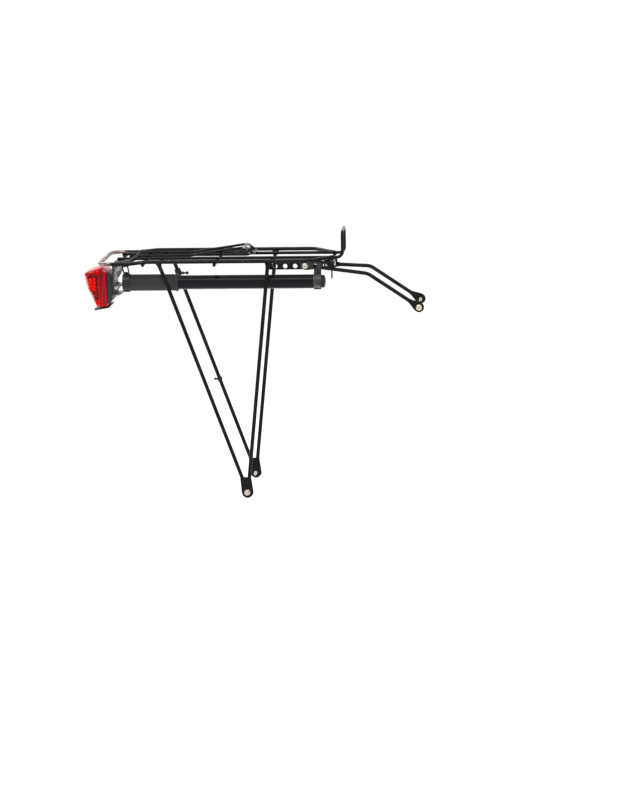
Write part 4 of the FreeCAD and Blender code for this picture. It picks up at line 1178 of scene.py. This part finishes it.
def lensRim():
    half = lamp["half"]
    front = lamp["front"]
    top = lamp["top"]
    bottom = lamp["bottom"]
    back = front - lamp["rimDepth"] * mm
    outline = [(front, bottom), (front, top - lamp["shoulder"] * mm), (back, top - 0.4 * mm),
               (back - 1.5 * mm, top - 20 * mm), (back - 1.2 * mm, bottom + 14 * mm), (back, bottom)]
    bm = bmesh.new()
    slab(bm, outline, -half, half, 1.3 * mm, 4)
    for sign in sides.values():
        y = sign * (half - 0.35 * mm)
        for behind, low, high in lamp["ridges"]:
            rings = []
            for above in (low, (low + high) / 2, high):
                x, z = lampPoint(behind, above)
                rings.append(ovalRing(Vector((x, y, z)), Vector((1, 0, 0)), Vector((0, 1, 0)),
                                      0.9 * mm, 0.55 * mm, 14))
            skin(bm, rings)
    addPiece("lens_rim", bm, "lensRim", "rack", sharp=30)


# Rows of four-sided prisms on a panel: origin at a corner, u and v along its sides, out of its face.
def prismPanel(bm, origin, u, v, out, columns, rows):
    cell = lamp["cell"] * mm
    # each level: from and to, as shares of the cell, and how far out it is
    levels = ((0, 0.94, -lamp["cellSunk"]), (0, 0.94, 0), (0.2, 0.74, lamp["cellRise"]))
    for column in range(columns):
        for row in range(rows):
            corner = origin + u * cell * column + v * cell * row
            rings = []
            for low, high, rise in levels:
                square = ((low, low), (high, low), (high, high), (low, high))
                rings.append([corner + u * cell * a + v * cell * b + out * rise * mm for a, b in square])
            skin(bm, rings)


# A dark tray inside the shell, and bright cells on its two sides and across its back.
def lensCells():
    inside = lamp["half"] - lamp["trayInset"] * mm
    tray = bmesh.new()
    outline = lampPoints((12.6, 6), (12.6, 53), (30.5, 50), (29, 38), (23, 21), (16.5, 6))
    slab(tray, outline, -inside, inside, 0.6 * mm, 2)
    for sign in sides.values():
        y = sign * (inside + 1.2 * mm)
        near, far = sorted((y, y + sign * 1.5 * mm))
        slab(tray, lampPoints((12.7, 20), (12.7, 50), (16.6, 50), (16.6, 20)), near, far, 0.4 * mm)
        slab(tray, lampPoints((16.6, 46.5), (16.6, 50.5), (30.5, 48.5), (30.5, 45.5)), near, far, 0.4 * mm)
    addPiece("lens_tray", tray, "lensTray", "rack", ("light_reflector",), 30)
    bm = bmesh.new()
    x, z = lampPoint(28.2, 45.5)
    for sign in sides.values():
        prismPanel(bm, Vector((x, sign * (inside + 0.8 * mm), z)), Vector((1, 0, 0)), Vector((0, 0, -1)),
                   Vector((0, sign, 0)), 2, 4)
    x, z = lampPoint(31.2, 47)
    slope = Vector((3.2, 0, -16)).normalized()
    out = Vector((slope.z, 0, -slope.x))
    prismPanel(bm, Vector((x, -22 * mm, z)), Vector((0, 1, 0)), slope, out, 8, 4)
    addPiece("lens_cells", bm, "lensCells", "rack", sharp=20)


# A shallow box with a seam round its middle.
def lampHousing():
    low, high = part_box("light_housing")
    half = high.y
    bm = bmesh.new()
    outline = [(low.x, low.z), (high.x, low.z + 6 * mm), (high.x, high.z - 8 * mm), (low.x, high.z)]
    slab(bm, outline, -half, half, 1.4 * mm, 4)
    rear = low.x + lamp["seam"] * mm
    front = rear + 1.2 * mm
    outline = [(rear, low.z + 2.6 * mm), (front, low.z + 3.6 * mm), (front, high.z - 4.2 * mm),
               (rear, high.z - 3.0 * mm)]
    slab(bm, outline, -half - 0.5 * mm, half + 0.5 * mm, 0.4 * mm, 2)
    addPiece("lamp_housing", bm, "housing", "rack", ("light_housing", "light_board"), 35)


def baseLip():
    low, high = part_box("light_base_lip")
    bm = bmesh.new()
    outline = [(low.x, low.z), (high.x, low.z + 3.9 * mm), (high.x, high.z), (low.x, low.z + 2.7 * mm)]
    slab(bm, outline, low.y, high.y, 0.7 * mm, 3)
    addPiece("lamp_base_lip", bm, "moulded", "rack", ("light_base_lip",), 35)


# Lengths in mm, angles in degrees
bracketShape = {
    "wall": 2.0,
    "bend": 2.6,
    "flangePast": 1.4,          # how far the flange reaches past the rear crossbar
    "lipCentre": (-207, 324),
    "lipRadius": 16,
    "lipStart": -108,           # where the plate runs into the lip
    "lipEnd": -6,
    "slots": (-62, -44, -36, -18),      # the lip's two rows of slots, from and to
    "bars": 6,
    "barShare": 0.29,           # half a bar's width, as a share of the bars' pitch
    "gusset": 1.6,
}


# A point on the lip's outer face.
def lipPoint(degrees):
    x, z = (part * mm for part in bracketShape["lipCentre"])
    radius = bracketShape["lipRadius"] * mm
    turn = math.radians(degrees)
    return Vector((x + radius * math.cos(turn), 0, z + radius * math.sin(turn)))


def lipLine(begin, end, steps):
    return [lipPoint(begin + (end - begin) * step / steps) for step in range(steps + 1)]


# A folded sheet: top flange under the crossbar, upright plate, two gussets and a curled, slotted lip.
def lampBracket():
    low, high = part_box("light_bracket")
    shape = bracketShape
    half = high.y
    wall = shape["wall"] * mm
    gusset = shape["gusset"] * mm
    rear = low.x
    top = high.z
    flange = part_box("rear_crossbar")[1].x + shape["flangePast"] * mm
    foldZ = lipPoint(shape["lipStart"]).z + 1 * mm
    plateLine = [Vector((flange, 0, top)), Vector((rear, 0, top)), Vector((rear, 0, foldZ))]
    first, second, third, last = shape["slots"]
    pitch = 2 * half / shape["bars"]
    bm = bmesh.new()
    curl = lipLine(shape["lipStart"], first, 5)[1:]
    bentSheet(bm, roundedLine(plateLine, shape["bend"] * mm, 5) + curl, wall, 0, half)
    for begin, end in ((first, second), (third, last)):
        for index in range(shape["bars"]):
            middleY = pitch * (index + 0.5) - half
            bentSheet(bm, lipLine(begin, end, 4), wall, middleY, pitch * shape["barShare"])
    for begin, end in ((second, third), (last, shape["lipEnd"])):
        bentSheet(bm, lipLine(begin, end, 3), wall, 0, half)
    face = rear + wall
    web = [(face, top - wall), (flange, top - wall), (face + 5 * mm, top - 24 * mm), (face, top - 30 * mm)]
    for near in (-half, half - gusset):
        slab(bm, web, near, near + gusset, 0.4 * mm, 2)
    addPiece("lamp_bracket", bm, "galvanised", "rack", ("light_bracket",), 35)


# In mm: half the spacing of the lamp's two screws, then the sizes of a nut
lampScrewY = 15
domeNut = {"bore": 2.05, "halfFlats": 3.9, "corner": 4.2, "collar": 3.0, "domeRadius": 3.8, "dome": 5.4}


def lampFasteners():
    low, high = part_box("light_screws")
    z = (low.z + high.z) / 2
    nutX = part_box("light_nuts")[0].x
    bore, halfFlats, corner, collar, domeRadius, dome = (part * mm for part in domeNut.values())
    flats = hexRadius(halfFlats)
    profile = [(0, bore), (0, hexRadius(halfFlats, corner)), (0.5 * mm, flats), (collar - 0.4 * mm, flats),
               (collar, domeRadius)]
    profile += [(collar + dome * rise, max(domeRadius * reach, 0.2 * mm)) for rise, reach in quarterTurn(8)]
    screws = bmesh.new()
    nuts = bmesh.new()
    for sign in sides.values():
        y = sign * lampScrewY * mm
        domedBolt(screws, "lamp", Vector((low.x, y, z)), Vector((-1, 0, 0)))
        turnShape(nuts, Vector((nutX, y, z)), Vector((1, 0, 0)), profile, 48)
    addPiece("lamp_screws", screws, "zinc", "rack", ("light_screws",), 32)
    addPiece("lamp_nuts", nuts, "zinc", "rack", ("light_nuts",), 32)


def strapScrew():
    low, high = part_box("strap_screw")
    bm = bmesh.new()
    domedBolt(bm, "strap", Vector((high.x, 0, (low.z + high.z) / 2)), Vector((1, 0, 0)))
    addPiece("strap_pan_screw", bm, "zinc", "rack", ("strap_screw",), 32)


lensShell()
lensRim()
lensCells()
lampHousing()
baseLip()
lampBracket()
lampFasteners()
strapScrew()
print("tail light made")


# Luggage clip: beads where its cross wires are welded to the arms

clipBeads = {
    "nose": (2.5, 1.7, 2.3),        # half sizes, mm
    "bow": (4.0, 1.2, 1.5),
    "bowRear": 6,                   # from the bow's rear end, and from its front end, mm
    "bowFront": 12,
}


def clipWelds():
    bm = bmesh.new()
    low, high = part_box("clip_nose_bar")
    for sign in sides.values():
        spot = Vector(((low.x + high.x) / 2, sign * high.y, (low.z + high.z) / 2 + 0.4 * mm))
        weldBead(bm, spot, clipBeads["nose"], 5 + sign)
    low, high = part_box("clip_lower_bow")
    for sign in sides.values():
        for x in (low.x + clipBeads["bowRear"] * mm, high.x - clipBeads["bowFront"] * mm):
            spot = Vector((x, sign * (high.y + 0.2 * mm), high.z - 1.2 * mm))
            weldBead(bm, spot, clipBeads["bow"], 9 + sign)
    addPiece("clip_welds", bm, "clip", "clip", sharp=60)


clipWelds()
print("clip welds made")


# Finishes of the nodes that keep their own shape

nodeFinish = {
    "rail": ["outer_rail"],
    "hoop": ["inner_rail_hoop"],
    "clip": ["clip_arms", "clip_lower_bow"],
    "bars": ["rear_crossbar", "clip_pivot_rod", "crossbar_tail", "crossbar_rear_stays", "crossbar_middle",
             "crossbar_front_stays", "front_crossbar"],
    "enamel": ["front_stay_left", "front_stay_right", "rear_stay_left", "rear_stay_right", "side_plate",
               "front_bracket", "strut_tab", "mudguard_strap"],
    "bright": ["clip_nose_bar"],
    "spring": ["clip_spring_left", "clip_spring_right"],
    "zinc": ["foot_washers", "clamp_washer"],
    "strap": ["pump_rear_clip", "pump_hanger"],
    "clipSteel": ["pump_front_clip"],
    "grip": ["pump_band"],
    "barrel": ["pump_barrel"],
    "polished": ["pump_rod"],
    "rubber": ["pump_piston"],
    "moulded": ["cable_guide", "cable_hook"],
    "bulb": ["light_bulb"],
}
for finish, names in nodeFinish.items():
    for name in names:
        for slotItem in nodes[name].material_slots:
            slotItem.material = finishes[finish]
print("node finishes set")
